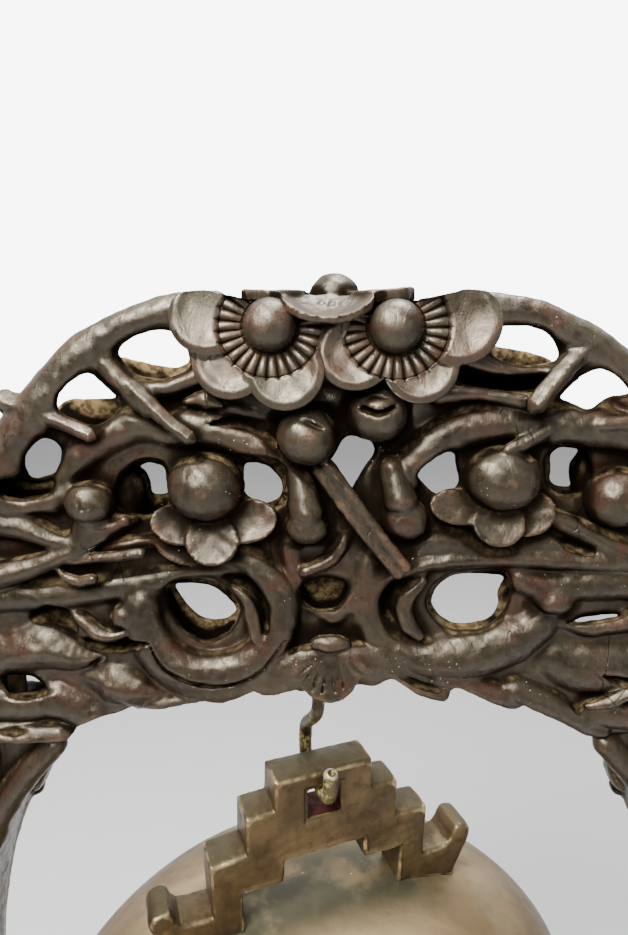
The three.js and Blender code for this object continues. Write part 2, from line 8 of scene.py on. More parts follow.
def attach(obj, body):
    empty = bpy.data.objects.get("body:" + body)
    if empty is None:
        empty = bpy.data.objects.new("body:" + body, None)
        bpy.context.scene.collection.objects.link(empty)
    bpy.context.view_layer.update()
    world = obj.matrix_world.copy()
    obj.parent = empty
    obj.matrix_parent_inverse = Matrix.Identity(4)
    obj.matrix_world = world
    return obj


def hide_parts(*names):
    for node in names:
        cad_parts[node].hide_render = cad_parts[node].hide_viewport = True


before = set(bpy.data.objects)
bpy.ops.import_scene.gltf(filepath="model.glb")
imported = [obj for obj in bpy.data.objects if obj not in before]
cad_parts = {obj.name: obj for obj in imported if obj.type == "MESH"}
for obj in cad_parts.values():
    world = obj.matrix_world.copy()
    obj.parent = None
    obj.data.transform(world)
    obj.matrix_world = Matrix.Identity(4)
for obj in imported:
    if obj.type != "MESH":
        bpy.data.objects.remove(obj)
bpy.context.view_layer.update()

# Sizes are in millimetres; MM turns them into the scene's metres. FAR is the distance that empty clay holds, and FIT
# the gap between pieces that touch.
MM = 0.001
FAR = 60.0
FIT = 0.3
# The cell of each piece's grid.
CARVING_STEP = 0.6
POST_STEP = 1.1
CREST_STEP = 0.5
ROD_STEP = 0.4

# The crown stands on its seat; the carving is drawn in heights over it.
SEAT = 338.0
BOARD_TOP = 64.0
HOOK_X = -3.6
# The camera's place. The carver's openings splay out behind as seen from it; FRONT is the plane they start in.
EYE = (-5.0, -192.2, 117.85)
FRONT = -20.0
BELL_TURN = math.radians(20.6)


# Carving kit.
def soft_min(a, b, blend):
    """The lower of two distances, rounded where they meet."""
    if blend <= 0:
        return np.minimum(a, b)
    near = np.maximum(blend - np.abs(a - b), 0) / blend
    return np.minimum(a, b) - near * near * blend / 4


def smooth_path(points, radii, spacing=1.5):
    """Points and radii along a Catmull-Rom curve through the given points."""
    points = np.array(points, float)
    radii = np.interp(np.linspace(0, 1, len(points)), np.linspace(0, 1, len(radii)), radii)
    ends = [2 * points[0] - points[1], *points, 2 * points[-1] - points[-2]]
    path = []
    size = []
    for i in range(len(points) - 1):
        a, b, c, d = ends[i:i + 4]
        count = max(2, int(np.linalg.norm(c - b) / spacing))
        for t in np.linspace(0, 1, count, endpoint=i == len(points) - 2):
            path.append(0.5 * (2 * b + (c - a) * t + (2 * a - 5 * b + 4 * c - d) * t**2
                               + (3 * b - a - 3 * c + d) * t**3))
            size.append(radii[i] + (radii[i + 1] - radii[i]) * t)
    return np.array(path), np.array(size)


class Clay:
    """Carved wood as signed distances on a regular grid; negative is inside."""

    def __init__(self, low, high, step):
        self.step = step
        self.axes = [np.arange(a, b, step, dtype=np.float32) for a, b in zip(low, high)]
        self.field = np.full([len(axis) for axis in self.axes], FAR, np.float32)
        self.stroke = self.field.copy()

    def window(self, low, high):
        """The grid inside a box, as slices and as x, y and z values."""
        cut = tuple(slice(*np.searchsorted(axis, (a, b))) for axis, a, b in zip(self.axes, low, high))
        x, y, z = (axis[s] for axis, s in zip(self.axes, cut))
        return cut, x[:, None, None], y[None, :, None], z[None, None, :]

    def blend_in(self, cut, distance, blend, away):
        if away:
            self.field[cut] = -soft_min(-self.field[cut], distance, blend)
        else:
            self.field[cut] = soft_min(self.field[cut], distance, blend)

    def limb(self, points, radii, depth=0.0, flat=1.0, ridge=2.0, blend=2.0, away=False):
        """A branch drawn in X and Z. depth is its Y, or its first and last; a low ridge power gives it edges."""
        first, last = depth if isinstance(depth, tuple) else (depth, depth)
        depths = np.linspace(first, last, len(points))
        spots = points if len(points[0]) == 3 else [(x, y, z) for (x, z), y in zip(points, depths)]
        path, size = smooth_path(spots, radii)
        reach = max(radii) * max(1, flat) + blend + 3 * self.step
        self.stroke.fill(FAR)
        for p, q, start, end in zip(path[:-1], path[1:], size[:-1], size[1:]):
            along = q - p
            cut, x, y, z = self.window(np.minimum(p, q) - reach, np.maximum(p, q) + reach)
            share = ((x - p[0]) * along[0] + (y - p[1]) * along[1] + (z - p[2]) * along[2]) / (along @ along)
            share = np.clip(share, 0, 1)
            dx = x - p[0] - share * along[0]
            dy = (y - p[1] - share * along[1]) / flat
            dz = z - p[2] - share * along[2]
            if ridge == 2:
                far = np.sqrt(dx * dx + dy * dy + dz * dz)
            else:
                run = math.hypot(along[0], along[2]) or 1
                side = np.abs(dx * along[2] - dz * along[0]) / run
                ahead = np.abs(dx * along[0] + dz * along[2]) / run
                far = (side**ridge + np.abs(dy)**ridge + ahead**ridge)**(1 / ridge)
            distance = far - (start + (end - start) * share)
            self.stroke[cut] = np.minimum(self.stroke[cut], distance)
        cut = self.window(path.min(0) - reach, path.max(0) + reach)[0]
        self.blend_in(cut, self.stroke[cut], blend, away)

    def cut_outline(self, outline, reach, blend, splay=True):
        """Cuts away what lies inside an outline drawn at the front; where it splays, along the sight lines."""
        outline = np.array(outline, float)
        for _ in range(2 if splay else 0):
            ahead = np.roll(outline, -1, 0)
            outline = np.stack([0.8 * outline + 0.2 * ahead, 0.2 * outline + 0.8 * ahead], 1).reshape(-1, 2)
        middle = np.array([EYE[0], EYE[2]])
        ends = np.clip(reach, self.axes[1][0], self.axes[1][-1])
        shares = [(FRONT - EYE[1]) / (end - EYE[1]) if splay else 1.0 for end in ends]
        corners = np.concatenate([middle + (outline - middle) / share for share in shares])
        low, high = corners.min(0) - 5, corners.max(0) + 5
        cut, x, y, z = self.window((low[0], reach[0], low[1]), (high[0], reach[1], high[1]))
        share = (FRONT - EYE[1]) / (y - EYE[1]) if splay else np.ones_like(y)
        flat = outline_distance(EYE[0] + (x - EYE[0]) * share, EYE[2] + (z - EYE[2]) * share, outline)
        self.blend_in(cut, np.maximum(flat / share, y - reach[1]), blend, True)

    def ball(self, x, z, radii, depth, blend=1.0, away=False):
        radii = np.broadcast_to(np.array(radii, float), 3)
        centre = np.array([x, depth, z])
        reach = radii + blend + 3 * self.step
        cut, gx, gy, gz = self.window(centre - reach, centre + reach)
        far = np.sqrt(((gx - x) / radii[0])**2 + ((gy - depth) / radii[1])**2 + ((gz - z) / radii[2])**2)
        self.blend_in(cut, (far - 1) * radii.min(), blend, away)

    def petal(self, x, z, radii, depth, tilt=0.0, turn=0.0, thickness=2.6, dish=1.2, blend=0.6,
              curl=0.0):
        """A round dished petal; tilt brings its lower edge forward, turn swings it, curl bends its sides forward."""
        turned = Matrix.Rotation(math.radians(turn), 3, "Y") @ Matrix.Rotation(math.radians(-tilt), 3, "X")
        across, out, up = (np.array(turned.col[i]) for i in range(3))
        centre = np.array([x, depth, z])
        reach = max(radii) + thickness + blend + 3 * self.step
        cut, gx, gy, gz = self.window(centre - reach, centre + reach)
        px, py, pz = gx - x, gy - depth, gz - z
        u = (px * across[0] + py * across[1] + pz * across[2]) / radii[0]
        v = (px * up[0] + py * up[1] + pz * up[2]) / radii[1]
        w = px * out[0] + py * out[1] + pz * out[2]
        rho = np.sqrt(u * u + v * v)
        rim = (rho - 1) * min(radii)
        skin = np.abs(w + dish * np.minimum(rho, 1.2)**2 + curl * np.minimum(u * u, 1.4)) - thickness / 2
        distance = np.minimum(np.maximum(rim, skin), 0)
        distance = distance + np.sqrt(np.maximum(rim, 0)**2 + np.maximum(skin, 0)**2)
        self.blend_in(cut, distance, blend, False)

    def sample(self, points):
        """The field at given points, between grid values; past the grid it grows with the way out."""
        held = np.clip(points, [axis[0] for axis in self.axes], [axis[-1] for axis in self.axes])
        cell = [(held[:, i] - self.axes[i][0]) / self.step for i in range(3)]
        low = [np.clip(np.floor(c).astype(int), 0, n - 2) for c, n in zip(cell, self.field.shape)]
        part = [np.clip(c - b, 0, 1) for c, b in zip(cell, low)]
        total = np.zeros(len(points))
        for corner in np.ndindex(2, 2, 2):
            weight = np.ones(len(points))
            for share, bit in zip(part, corner):
                weight = weight * (share if bit else 1 - share)
            total += weight * self.field[tuple(b + bit for b, bit in zip(low, corner))]
        return total + np.linalg.norm(points - held, axis=1)

    def skin(self):
        """The surface as points and four-sided faces, one point in each grid cell that the surface crosses."""
        field = self.field
        inside = field < 0
        nx, ny, nz = (n - 1 for n in field.shape)
        count = np.zeros((nx, ny, nz), np.int8)
        for i, j, k in np.ndindex(2, 2, 2):
            count += inside[i:nx + i, j:ny + j, k:nz + k]
        cells = np.argwhere((count > 0) & (count < 8))
        number = np.full((nx, ny, nz), -1, np.int32)
        number[tuple(cells.T)] = np.arange(len(cells))
        total = np.zeros((len(cells), 3))
        hits = np.zeros(len(cells))
        corners = list(np.ndindex(2, 2, 2))
        for a in corners:
            for axis in range(3):
                if a[axis]:
                    continue
                b = list(a)
                b[axis] = 1
                va = field[tuple((cells + a).T)]
                vb = field[tuple((cells + b).T)]
                crossed = (va < 0) != (vb < 0)
                share = np.where(crossed, va / np.where(crossed, va - vb, 1), 0)
                spot = np.tile(np.array(a, float), (len(cells), 1))
                spot[:, axis] = share
                total += spot * crossed[:, None]
                hits += crossed
        points = (cells + total / hits[:, None]) * self.step + [axis[0] for axis in self.axes]
        faces = []
        for axis in range(3):
            one, two = [a for a in range(3) if a != axis]
            ahead = np.roll(inside, -1, axis)
            edge = inside != ahead
            edge[tuple(slice(-1, None) if a == axis else slice(None) for a in range(3))] = False
            spots = np.argwhere(edge)
            spots = spots[(spots[:, one] > 0) & (spots[:, two] > 0)]
            outward = inside[tuple(spots.T)]
            ring = []
            for back_one, back_two in ((1, 1), (0, 1), (0, 0), (1, 0)):
                cell = spots.copy()
                cell[:, one] -= back_one
                cell[:, two] -= back_two
                ring.append(number[tuple(cell.T)])
            quads = np.stack(ring, 1)
            flip = outward if axis == 1 else ~outward
            quads[flip] = quads[flip][:, ::-1]
            faces.append(quads)
        return points, np.concatenate(faces)


def waves(points, size, seed, count=7):
    """Smooth unevenness from a few plane waves, about -1 to 1, with hollows a given size apart."""
    rng = np.random.default_rng(seed)
    total = np.zeros(len(points))
    for _ in range(count):
        direction = rng.normal(size=3)
        direction *= 2 * math.pi / (size * rng.uniform(0.7, 1.5)) / np.linalg.norm(direction)
        total += np.sin(points @ direction + rng.uniform(0, 6.28))
    return total / math.sqrt(count * 2)


def add_object(name, data):
    """A new object in the scene."""
    piece = bpy.data.objects.new(name, data)
    bpy.context.scene.collection.objects.link(piece)
    return piece


def paint(mesh, values, domain="POINT"):
    """Keeps what the materials ask of each point or corner, as the colour attribute carve."""
    shade = mesh.color_attributes.new("carve", "FLOAT_COLOR", domain)
    shade.data.foreach_set("color", values.astype(np.float32).ravel())


def ring_faces(rings, around, start=0):
    """Faces between rings of points, from each ring to the next."""
    here = start + np.arange(around)
    ahead = start + (np.arange(around) + 1) % around
    return [np.stack([here, here + around, ahead + around, ahead], 1) + i * around for i in range(rings - 1)]


def mesh_piece(name, points, faces, body, material, nodes):
    """A mesh object in the scene's metres, riding on a body."""
    mesh = bpy.data.meshes.new(name)
    mesh.vertices.add(len(points))
    mesh.vertices.foreach_set("co", (np.asarray(points, float) * MM).ravel())
    mesh.loops.add(faces.size)
    mesh.loops.foreach_set("vertex_index", faces.ravel())
    mesh.polygons.add(len(faces))
    mesh.polygons.foreach_set("loop_start", np.arange(len(faces)) * faces.shape[1])
    mesh.update(calc_edges=True)
    mesh.polygons.foreach_set("use_smooth", np.full(len(faces), True))
    mesh.materials.append(material)
    piece = add_object(name, mesh)
    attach(piece, body)
    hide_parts(*nodes)
    return piece


def outline_distance(x, z, outline):
    """Signed distance in X and Z from a closed outline; negative inside."""
    x, z = np.broadcast_arrays(x, z)
    nearest = np.full(x.shape, 1e9)
    inside = np.zeros(x.shape, bool)
    for (ax, az), (bx, bz) in zip(outline, [*outline[1:], outline[0]]):
        run, rise = bx - ax, bz - az
        share = np.clip(((x - ax) * run + (z - az) * rise) / (run * run + rise * rise + 1e-9), 0, 1)
        nearest = np.minimum(nearest, np.hypot(x - ax - share * run, z - az - share * rise))
        if az != bz:
            inside ^= ((az > z) != (bz > z)) & (x < ax + (z - az) * run / rise)
    return np.where(inside, -nearest, nearest)


def rounded_plate(flat, y, half, edge):
    """An outline's distance made into a plate with rounded edges."""
    side = flat + edge
    depth = np.abs(y) - half + edge
    return np.sqrt(np.maximum(side, 0)**2 + np.maximum(depth, 0)**2) + np.minimum(np.maximum(side, depth), 0) - edge


def carved_piece(name, clay, place, material, nodes, seed, body="stand", unevenness=1.0, inside=None):
    """Turns clay into a piece, with how hollow and how edge-like each point is kept for the material."""
    points, faces = clay.skin()
    axes = np.eye(3)
    grow = np.stack([clay.sample(points + axis * 1.2) - clay.sample(points - axis * 1.2) for axis in axes], 1)
    normal = grow / np.maximum(np.linalg.norm(grow, axis=1, keepdims=True), 1e-6)
    edge = sum(clay.sample(points + axis * s * 2.0) for axis in axes for s in (-1, 1)) / 12
    # openness, how enclosed each point is, drives the painted shade in hollows and gates the painted top light in the
    # materials.
    openness = sum(np.clip(clay.sample(points + normal * reach) / reach, 0, 1) for reach in (2.5, 5, 9, 15)) / 4
    uneven = 0.12 * waves(points, 11, seed) + 0.08 * waves(points, 4, seed + 1)
    if inside is None:
        back = points[:, 1]
        inner = np.clip((back + 13) / 6, 0, 1) * (back < 15) * np.clip(normal[:, 2] - 1.4 * normal[:, 1], 0, 1)
    else:
        inner = inside(points)
    points = place(points + unevenness * normal * uneven[:, None])
    piece = mesh_piece(name, points, faces, body, material, nodes)
    paint(piece.data, np.stack([openness, np.clip(0.5 + edge, 0, 1), 0.5 + 0.5 * normal[:, 2], inner], 1))


# Materials.
def new_material(name):
    """A material with its nodes, links and shader."""
    material = bpy.data.materials.new(name)
    material.use_nodes = True
    nodes = material.node_tree.nodes
    return material, nodes, material.node_tree.links, nodes["Principled BSDF"]


class Nodes:
    """Short ways to add shader nodes to one material, and the colour and relief built up so far."""

    def __init__(self, name, metallic=0.0):
        self.material, self.nodes, self.links, self.shader = new_material(name)
        self.shader.inputs["Metallic"].default_value = metallic
        self.place = self.nodes.new("ShaderNodeTexCoord").outputs["Object"]
        self.colour = None
        self.relief = None

    def put(self, socket, value):
        if hasattr(value, "is_linked"):
            self.links.new(value, socket)
        else:
            socket.default_value = value

    def noise(self, scale, detail=4, rough=0.55, stretch=None, distortion=0.0):
        node = self.nodes.new("ShaderNodeTexNoise")
        node.inputs["Scale"].default_value = scale
        node.inputs["Detail"].default_value = detail
        node.inputs["Roughness"].default_value = rough
        node.inputs["Distortion"].default_value = distortion
        self.links.new(self.stretched(stretch), node.inputs["Vector"])
        return node.outputs["Fac"]

    def stretched(self, stretch):
        if stretch is None:
            return self.place
        mapping = self.nodes.new("ShaderNodeMapping")
        mapping.inputs["Scale"].default_value = stretch
        self.links.new(self.place, mapping.inputs["Vector"])
        return mapping.outputs["Vector"]

    def specks(self, scale, size):
        """1 on small round spots, 0 elsewhere."""
        node = self.nodes.new("ShaderNodeTexVoronoi")
        node.inputs["Scale"].default_value = scale
        self.links.new(self.place, node.inputs["Vector"])
        return self.ramp(node.outputs["Distance"], size * 1.3, size * 0.7)

    def cracks(self, scale, width):
        """1 along thin wandering lines, 0 elsewhere."""
        node = self.nodes.new("ShaderNodeTexVoronoi")
        node.feature = "DISTANCE_TO_EDGE"
        node.inputs["Scale"].default_value = scale
        self.links.new(self.stretched((1.6, 1.6, 0.6)), node.inputs["Vector"])
        return self.ramp(node.outputs["Distance"], width, width * 0.3)

    def ramp(self, value, low, high, to_low=0.0, to_high=1.0):
        node = self.nodes.new("ShaderNodeMapRange")
        node.interpolation_type = "SMOOTHSTEP"
        flipped = low > high
        ends = (high, low) if flipped else (low, high)
        reach = (to_high, to_low) if flipped else (to_low, to_high)
        self.put(node.inputs["Value"], value)
        for key, number in zip(("From Min", "From Max", "To Min", "To Max"), (*ends, *reach)):
            node.inputs[key].default_value = number
        return node.outputs["Result"]

    def math(self, kind, a, b):
        node = self.nodes.new("ShaderNodeMath")
        node.operation = kind
        node.use_clamp = True
        self.put(node.inputs[0], a)
        self.put(node.inputs[1], b)
        return node.outputs[0]

    def mix(self, share, a, b):
        node = self.nodes.new("ShaderNodeMix")
        node.data_type = "RGBA"
        self.put(node.inputs["Factor"], share)
        # The colour sockets come after those for single values and vectors.
        for socket, value in zip(node.inputs[6:8], (a, b)):
            self.put(socket, value if hasattr(value, "is_linked") else (*value, 1))
        return node.outputs[2]

    def times(self, a, b):
        return self.math("MULTIPLY", a, b)

    def patches(self, scale, detail, low, high):
        """1 in noisy patches, 0 between them."""
        return self.ramp(self.noise(scale, detail), low, high)

    def coat(self, mask, share, colour):
        """Lays a colour over what is there, as far as the mask and its share say."""
        self.colour = self.mix(self.times(mask, share), self.colour, colour)

    def bump(self, height, distance, strength):
        """Adds relief of a given height in millimetres to what is there."""
        node = self.nodes.new("ShaderNodeBump")
        node.inputs["Distance"].default_value = distance * MM
        node.inputs["Strength"].default_value = strength
        self.put(node.inputs["Height"], height)
        if self.relief is not None:
            self.links.new(self.relief, node.inputs["Normal"])
        self.relief = node.outputs["Normal"]

    def height(self, low, high):
        """0 below one height, 1 above the other, in millimetres."""
        node = self.nodes.new("ShaderNodeSeparateXYZ")
        self.links.new(self.place, node.inputs["Vector"])
        return self.ramp(node.outputs["Z"], low * MM, high * MM)

    def attribute(self, name):
        node = self.nodes.new("ShaderNodeAttribute")
        node.attribute_name = name
        split = self.nodes.new("ShaderNodeSeparateColor")
        self.links.new(node.outputs["Color"], split.inputs["Color"])
        return [*split.outputs, node.outputs["Alpha"]]

    def finish(self, roughness):
        self.put(self.shader.inputs["Base Color"], self.colour)
        self.put(self.shader.inputs["Roughness"], roughness)
        self.links.new(self.relief, self.shader.inputs["Normal"])
        return self.material


def carved_wood():
    """Dark stained wood, satin and gritty: a warm painted top light on upward faces high on the crown, painted shade
    that turns the channels black, ochre dust behind.
    """
    n = Nodes("carved_wood")
    open_, edge, up, inner = n.attribute("carve")
    broad = n.noise(45, detail=5)
    grain = n.noise(230, detail=6, stretch=(1, 1, 0.2), distortion=0.7)
    fine = n.noise(1500, detail=4)
    mottle = n.noise(420, detail=6, rough=0.65)
    n.colour = n.mix(n.ramp(broad, 0.35, 0.68), (0.0062, 0.0042, 0.0023), (0.018, 0.0130, 0.0072))
    n.coat(n.ramp(grain, 0.42, 0.68), 0.55, (0.030, 0.0222, 0.0132))
    n.coat(n.patches(70, 4, 0.52, 0.66), 0.8, (0.028, 0.0095, 0.006))
    # Painted top light: a warm rubbed tone laid over upward-facing, open faces, stronger higher up the crown, so the
    # tops read as lit from above.
    rubbed = n.mix(n.patches(48, 5, 0.42, 0.6), (0.060, 0.056, 0.039), (0.082, 0.044, 0.031))
    painted_top_light = n.times(n.ramp(up, 0.56, 0.88), n.patches(55, 6, 0.36, 0.6))
    painted_top_light = n.times(painted_top_light, n.ramp(open_, 0.84, 0.99))
    height = n.height(SEAT + 78, SEAT + 104)
    painted_top_light = n.times(painted_top_light, n.ramp(height, 0, 1, 0.42, 1.0))
    n.coat(painted_top_light, 0.7, rubbed)
    worn = n.times(n.ramp(edge, 0.58, 0.76), n.patches(160, 5, 0.4, 0.66))
    n.coat(worn, 0.42, (0.12, 0.066, 0.042))
    n.coat(n.ramp(mottle, 0.5, 0.7), 0.65, (0.007, 0.0046, 0.003))
    n.coat(n.ramp(fine, 0.5, 0.62), 0.55, (0.008, 0.0052, 0.0034))
    # Painted shade: hollows and channels darkened nearly to black by how enclosed each point is.
    painted_shade = n.ramp(open_, 0.94, 0.52)
    n.coat(painted_shade, 0.93, (0.0035, 0.0022, 0.0014))
    shelter = n.times(n.ramp(open_, 0.8, 0.55), n.ramp(up, 0.66, 0.98))
    dust = n.times(n.times(shelter, 0.5), n.patches(200, 5, 0.36, 0.66))
    back_dust = n.times(n.ramp(inner, 0.12, 0.6), n.patches(150, 5, 0.3, 0.62))
    back_dust = n.times(back_dust, n.ramp(open_, 0.2, 0.5))
    back_dust = n.times(back_dust, n.ramp(open_, 0.995, 0.93, 0.12, 1.0))
    dust = n.math("MAXIMUM", dust, back_dust)
    ochre = n.mix(n.patches(600, 3, 0.35, 0.65), (0.115, 0.077, 0.036), (0.29, 0.215, 0.115))
    n.coat(dust, 0.7, ochre)
    spots = n.times(n.specks(620, 0.09), n.patches(60, 4, 0.56, 0.64))
    n.coat(spots, 0.8, (0.46, 0.40, 0.30))
    crack = n.times(n.cracks(60, 0.016), n.patches(38, 4, 0.6, 0.66))
    n.coat(crack, 0.85, (0.004, 0.003, 0.002))
    roughness = n.math("ADD", n.ramp(mottle, 0.3, 0.7, 0.26, 0.5), n.times(dust, 0.45))
    roughness = n.math("ADD", roughness, n.times(painted_shade, 0.4))
    n.shader.inputs["Specular IOR Level"].default_value = 0.4
    n.put(n.shader.inputs["Specular IOR Level"],
          n.times(n.ramp(open_, 0.7, 0.99, 0.03, 0.55), n.ramp(height, 0, 1, 0.74, 1.0)))
    n.shader.inputs["Specular Tint"].default_value = (1.0, 0.89, 0.72, 1)
    n.shader.inputs["IOR"].default_value = 1.6
    n.bump(grain, 0.55, 0.6)
    n.bump(fine, 0.14, 0.4)
    n.bump(mottle, 0.2, 0.45)
    n.bump(n.math("SUBTRACT", 1.0, crack), 0.5, 0.7)
    return n.finish(roughness)


def dome_bronze():
    """Old bronze: golden tan, dark green patina round the crest's feet darkened as painted shade under the crest's
    arch, olive and reddish patina gathered towards the shoulder as painted shade, pale specks.
    """
    n = Nodes("bell_bronze", 0.5)
    green, low, _, _ = n.attribute("carve")
    broad = n.noise(20, detail=6, distortion=0.8)
    fine = n.noise(160, detail=6)
    n.colour = n.mix(n.ramp(broad, 0.34, 0.62), (0.175, 0.12, 0.057), (0.36, 0.268, 0.148))
    n.coat(n.patches(31, 5, 0.5, 0.66), 0.5, (0.19, 0.18, 0.115))
    # Painted shade: darker olive and reddish patina towards the shoulder, where the dome turns away from the light.
    olive = n.times(n.ramp(low, 0.25, 0.9), n.patches(18, 5, 0.2, 0.5))
    n.coat(olive, 0.8, (0.115, 0.086, 0.045))
    red = n.times(n.ramp(low, 0.35, 0.85), n.patches(26, 5, 0.4, 0.62))
    n.coat(red, 0.5, (0.155, 0.075, 0.045))
    # Green patina round the crest's feet, made dark as painted shade under the crest's arch.
    green_patina_and_shade = n.times(green, n.patches(60, 5, 0.26, 0.52))
    n.coat(green_patina_and_shade, 0.92, (0.048, 0.05, 0.031))
    n.coat(n.ramp(fine, 0.5, 0.72), 0.35, (0.12, 0.09, 0.055))
    spots = n.times(n.specks(420, 0.09), n.patches(40, 4, 0.56, 0.64))
    n.colour = n.mix(spots, n.colour, (0.6, 0.58, 0.5))
    roughness = n.math("ADD", n.ramp(fine, 0.3, 0.7, 0.36, 0.5), n.ramp(broad, 0.4, 0.7, 0.0, 0.12))
    n.bump(n.noise(420, detail=5), 0.2, 0.6)
    n.bump(n.noise(38, detail=3), 2.2, 0.35)
    n.bump(fine, 0.4, 0.45)
    return n.finish(roughness)


def crest_bronze():
    """The crest's golden brown bronze, olive where it faces up, pale gold along worn edges that doubles as a painted
    highlight, painted shade in its hollows and a dark red painted shade inside the eye.
    """
    n = Nodes("crest_bronze", 0.7)
    open_, edge, up, inside = n.attribute("carve")
    fine = n.noise(230, detail=6)
    n.colour = n.mix(n.patches(55, 6, 0.35, 0.68), (0.058, 0.038, 0.017), (0.125, 0.085, 0.040))
    n.coat(n.ramp(fine, 0.5, 0.7), 0.5, (0.034, 0.023, 0.012))
    green = n.times(n.ramp(up, 0.75, 0.95), n.patches(80, 5, 0.3, 0.6))
    n.coat(green, 0.75, (0.10, 0.088, 0.05))
    # Worn edges in pale gold, which also stand in for a painted highlight along them.
    worn = n.times(n.ramp(edge, 0.66, 0.78), n.patches(170, 5, 0.40, 0.64))
    n.coat(worn, 0.85, (0.46, 0.35, 0.19))
    # Painted shade: the crest's hollows and inner corners darkened.
    shelter = n.times(n.ramp(open_, 0.85, 0.5), n.patches(300, 4, 0.3, 0.6))
    n.coat(shelter, 0.6, (0.065, 0.038, 0.018))
    # Painted shade: the inside of the eye painted dark red.
    n.coat(inside, 0.9, (0.055, 0.006, 0.006))
    n.bump(n.noise(600, detail=5), 0.2, 0.7)
    n.bump(fine, 0.45, 0.5)
    return n.finish(n.ramp(fine, 0.3, 0.7, 0.36, 0.52))


def hook_brass():
    """Dark olive brass with gritty yellow patches."""
    n = Nodes("hook_brass", 0.6)
    grit = n.times(n.patches(170, 4, 0.48, 0.58), n.patches(900, 3, 0.4, 0.6))
    _, edge, _, _ = n.attribute("carve")
    n.colour = n.mix(n.patches(120, 4, 0.4, 0.65), (0.035, 0.029, 0.012), (0.085, 0.07, 0.032))
    n.colour = n.mix(grit, n.colour, (0.36, 0.30, 0.12))
    n.colour = n.mix(n.ramp(edge, 0.72, 0.8), n.colour, (0.42, 0.37, 0.25))
    n.bump(n.noise(900, detail=4), 0.25, 0.7)
    return n.finish(n.math("ADD", n.times(grit, 0.3), 0.42))


# The crown, drawn in strokes.
def places(line):
    """Places in X and Z, each written x,z."""
    return [tuple(map(float, place.split(","))) for place in line.split()]


def draw(clay, strokes):
    """Draws strokes, one a line: kind, places | radii | depth, or its first and last | other values by name."""
    for line in strokes.strip().splitlines():
        if line.startswith("#"):
            continue
        kind, line = line.split(" ", 1)
        spots, radii, depth, *words = line.split(" | ")
        spots = places(spots)
        radii = [float(radius) for radius in radii.split()]
        depth = tuple(map(float, depth.split()))
        depth = depth if len(depth) > 1 else depth[0]
        words = words[0].split() if words else []
        values = dict(zip(words[::2], map(float, words[1::2])))
        if kind in ("limb", "cut"):
            clay.limb(spots, radii, depth, away=kind == "cut", **values)
        elif kind == "petal":
            clay.petal(*spots[0], radii, depth, **values)
        else:
            clay.ball(*spots[0], radii, depth, away=kind == "dent", **values)


CROWN_TOP = places("""
-127,0 -121,30 -112,54 -100,76 -84,96 -66,112 -44,121 -20,124 20,124 44,121 66,112 84,96 100,76 112,54 121,30 127,0
""")
CROWN_LOW = places("""
-86,0 -66,4 -44,9 -20,12 20,12 44,8 66,2 86,-4
""")
CROWN_HALF = 127.0
CORE_HALF = 17.0
THROUGH = 40.0
RIM = places("""
24,123 44,122.5 58,118.5 70,110 82,99 95,83 107,62 116,36 120,8
""")
# See-through openings, drawn where they are seen in the plane of the front limbs.
OPENINGS = """
-56.1,115.5 -52.7,118.1 -48.2,119.6 -44.2,119.9 -40.9,118.4 -38.3,115.5 -37.9,112.1 -41.2,110.5 -44.6,110.8 \
  -49.9,111.8 -54.6,112.9
-73.8,102.3 -70.8,106 -66,109.2 -63.4,108.4 -59.6,104.7 -56.8,102.3
-84.3,86.2 -81.8,89.8 -78.7,92 -75.5,91.2 -73.7,89 -74.3,84.8 -76.2,81.7 -81,80.3 -83.1,80.9 -84.3,83.4
-53.3,84 -49.9,85.3 -45.9,84 -45.5,80 -44.8,76.1 -49.8,75.8 -50.2,80 -51.4,82.8
-24.5,84.8 -21.2,85.3 -17.1,84.2 -13.8,80 -13.6,76.6 -15,74.4 -18.6,73.2 -22.7,74.9 -24.6,76.6
-2.8,83.4 0.5,87 2.9,92 5.3,92.8 10.8,91.2 11.9,87.9 8.2,82.8 5,76.6 3.6,75.8 1.1,78.9
23,81.7 26.8,85.6 30.8,87.9 33.5,88.1 33.9,84.2 35.2,80 34,77.2 29.9,75.5 27.1,76.9 24.2,80
59.2,87.6 62,89.5 66.2,89.2 67.6,88.4 65.1,85.1 65.1,81.4 66.2,78 61.5,78.3 59.7,80 59.8,83.4
42.1,115.5 42.4,119.6 44.2,121.2 51.3,121.2 55.3,119.6 57.3,117.1 57.7,115.5
60.3,102.6 63.5,106 68.5,110 72.4,110.5 76.7,107.9 79.7,104.7 79.5,103.4 73.1,102.8 70.7,100.1 68.1,99.1 64.4,101.2
-45.1,50 -40.3,50.3 -33.2,49.4 -28.5,44.9 -26.8,41.8 -29.8,39.4 -33.5,38.7 -37.8,39.7 -41.1,43.3 -43.8,47.3
28.2,44.9 30,49.4 33.6,52.4 39.2,53.3 47.8,52.7 49.3,51.8 47.5,47.9 48,43.3 45.7,39.4 40,37.5 34.2,37.8 29.8,41.2
-95.9,21.8 -88.3,21.8 -85.5,19.9 -83.6,17.6 -86.4,16.3 -95.3,15.4
67.1,37.8 73,40 80.6,40.9 83.5,40.6 81.9,39.4 71.7,38.1
"""
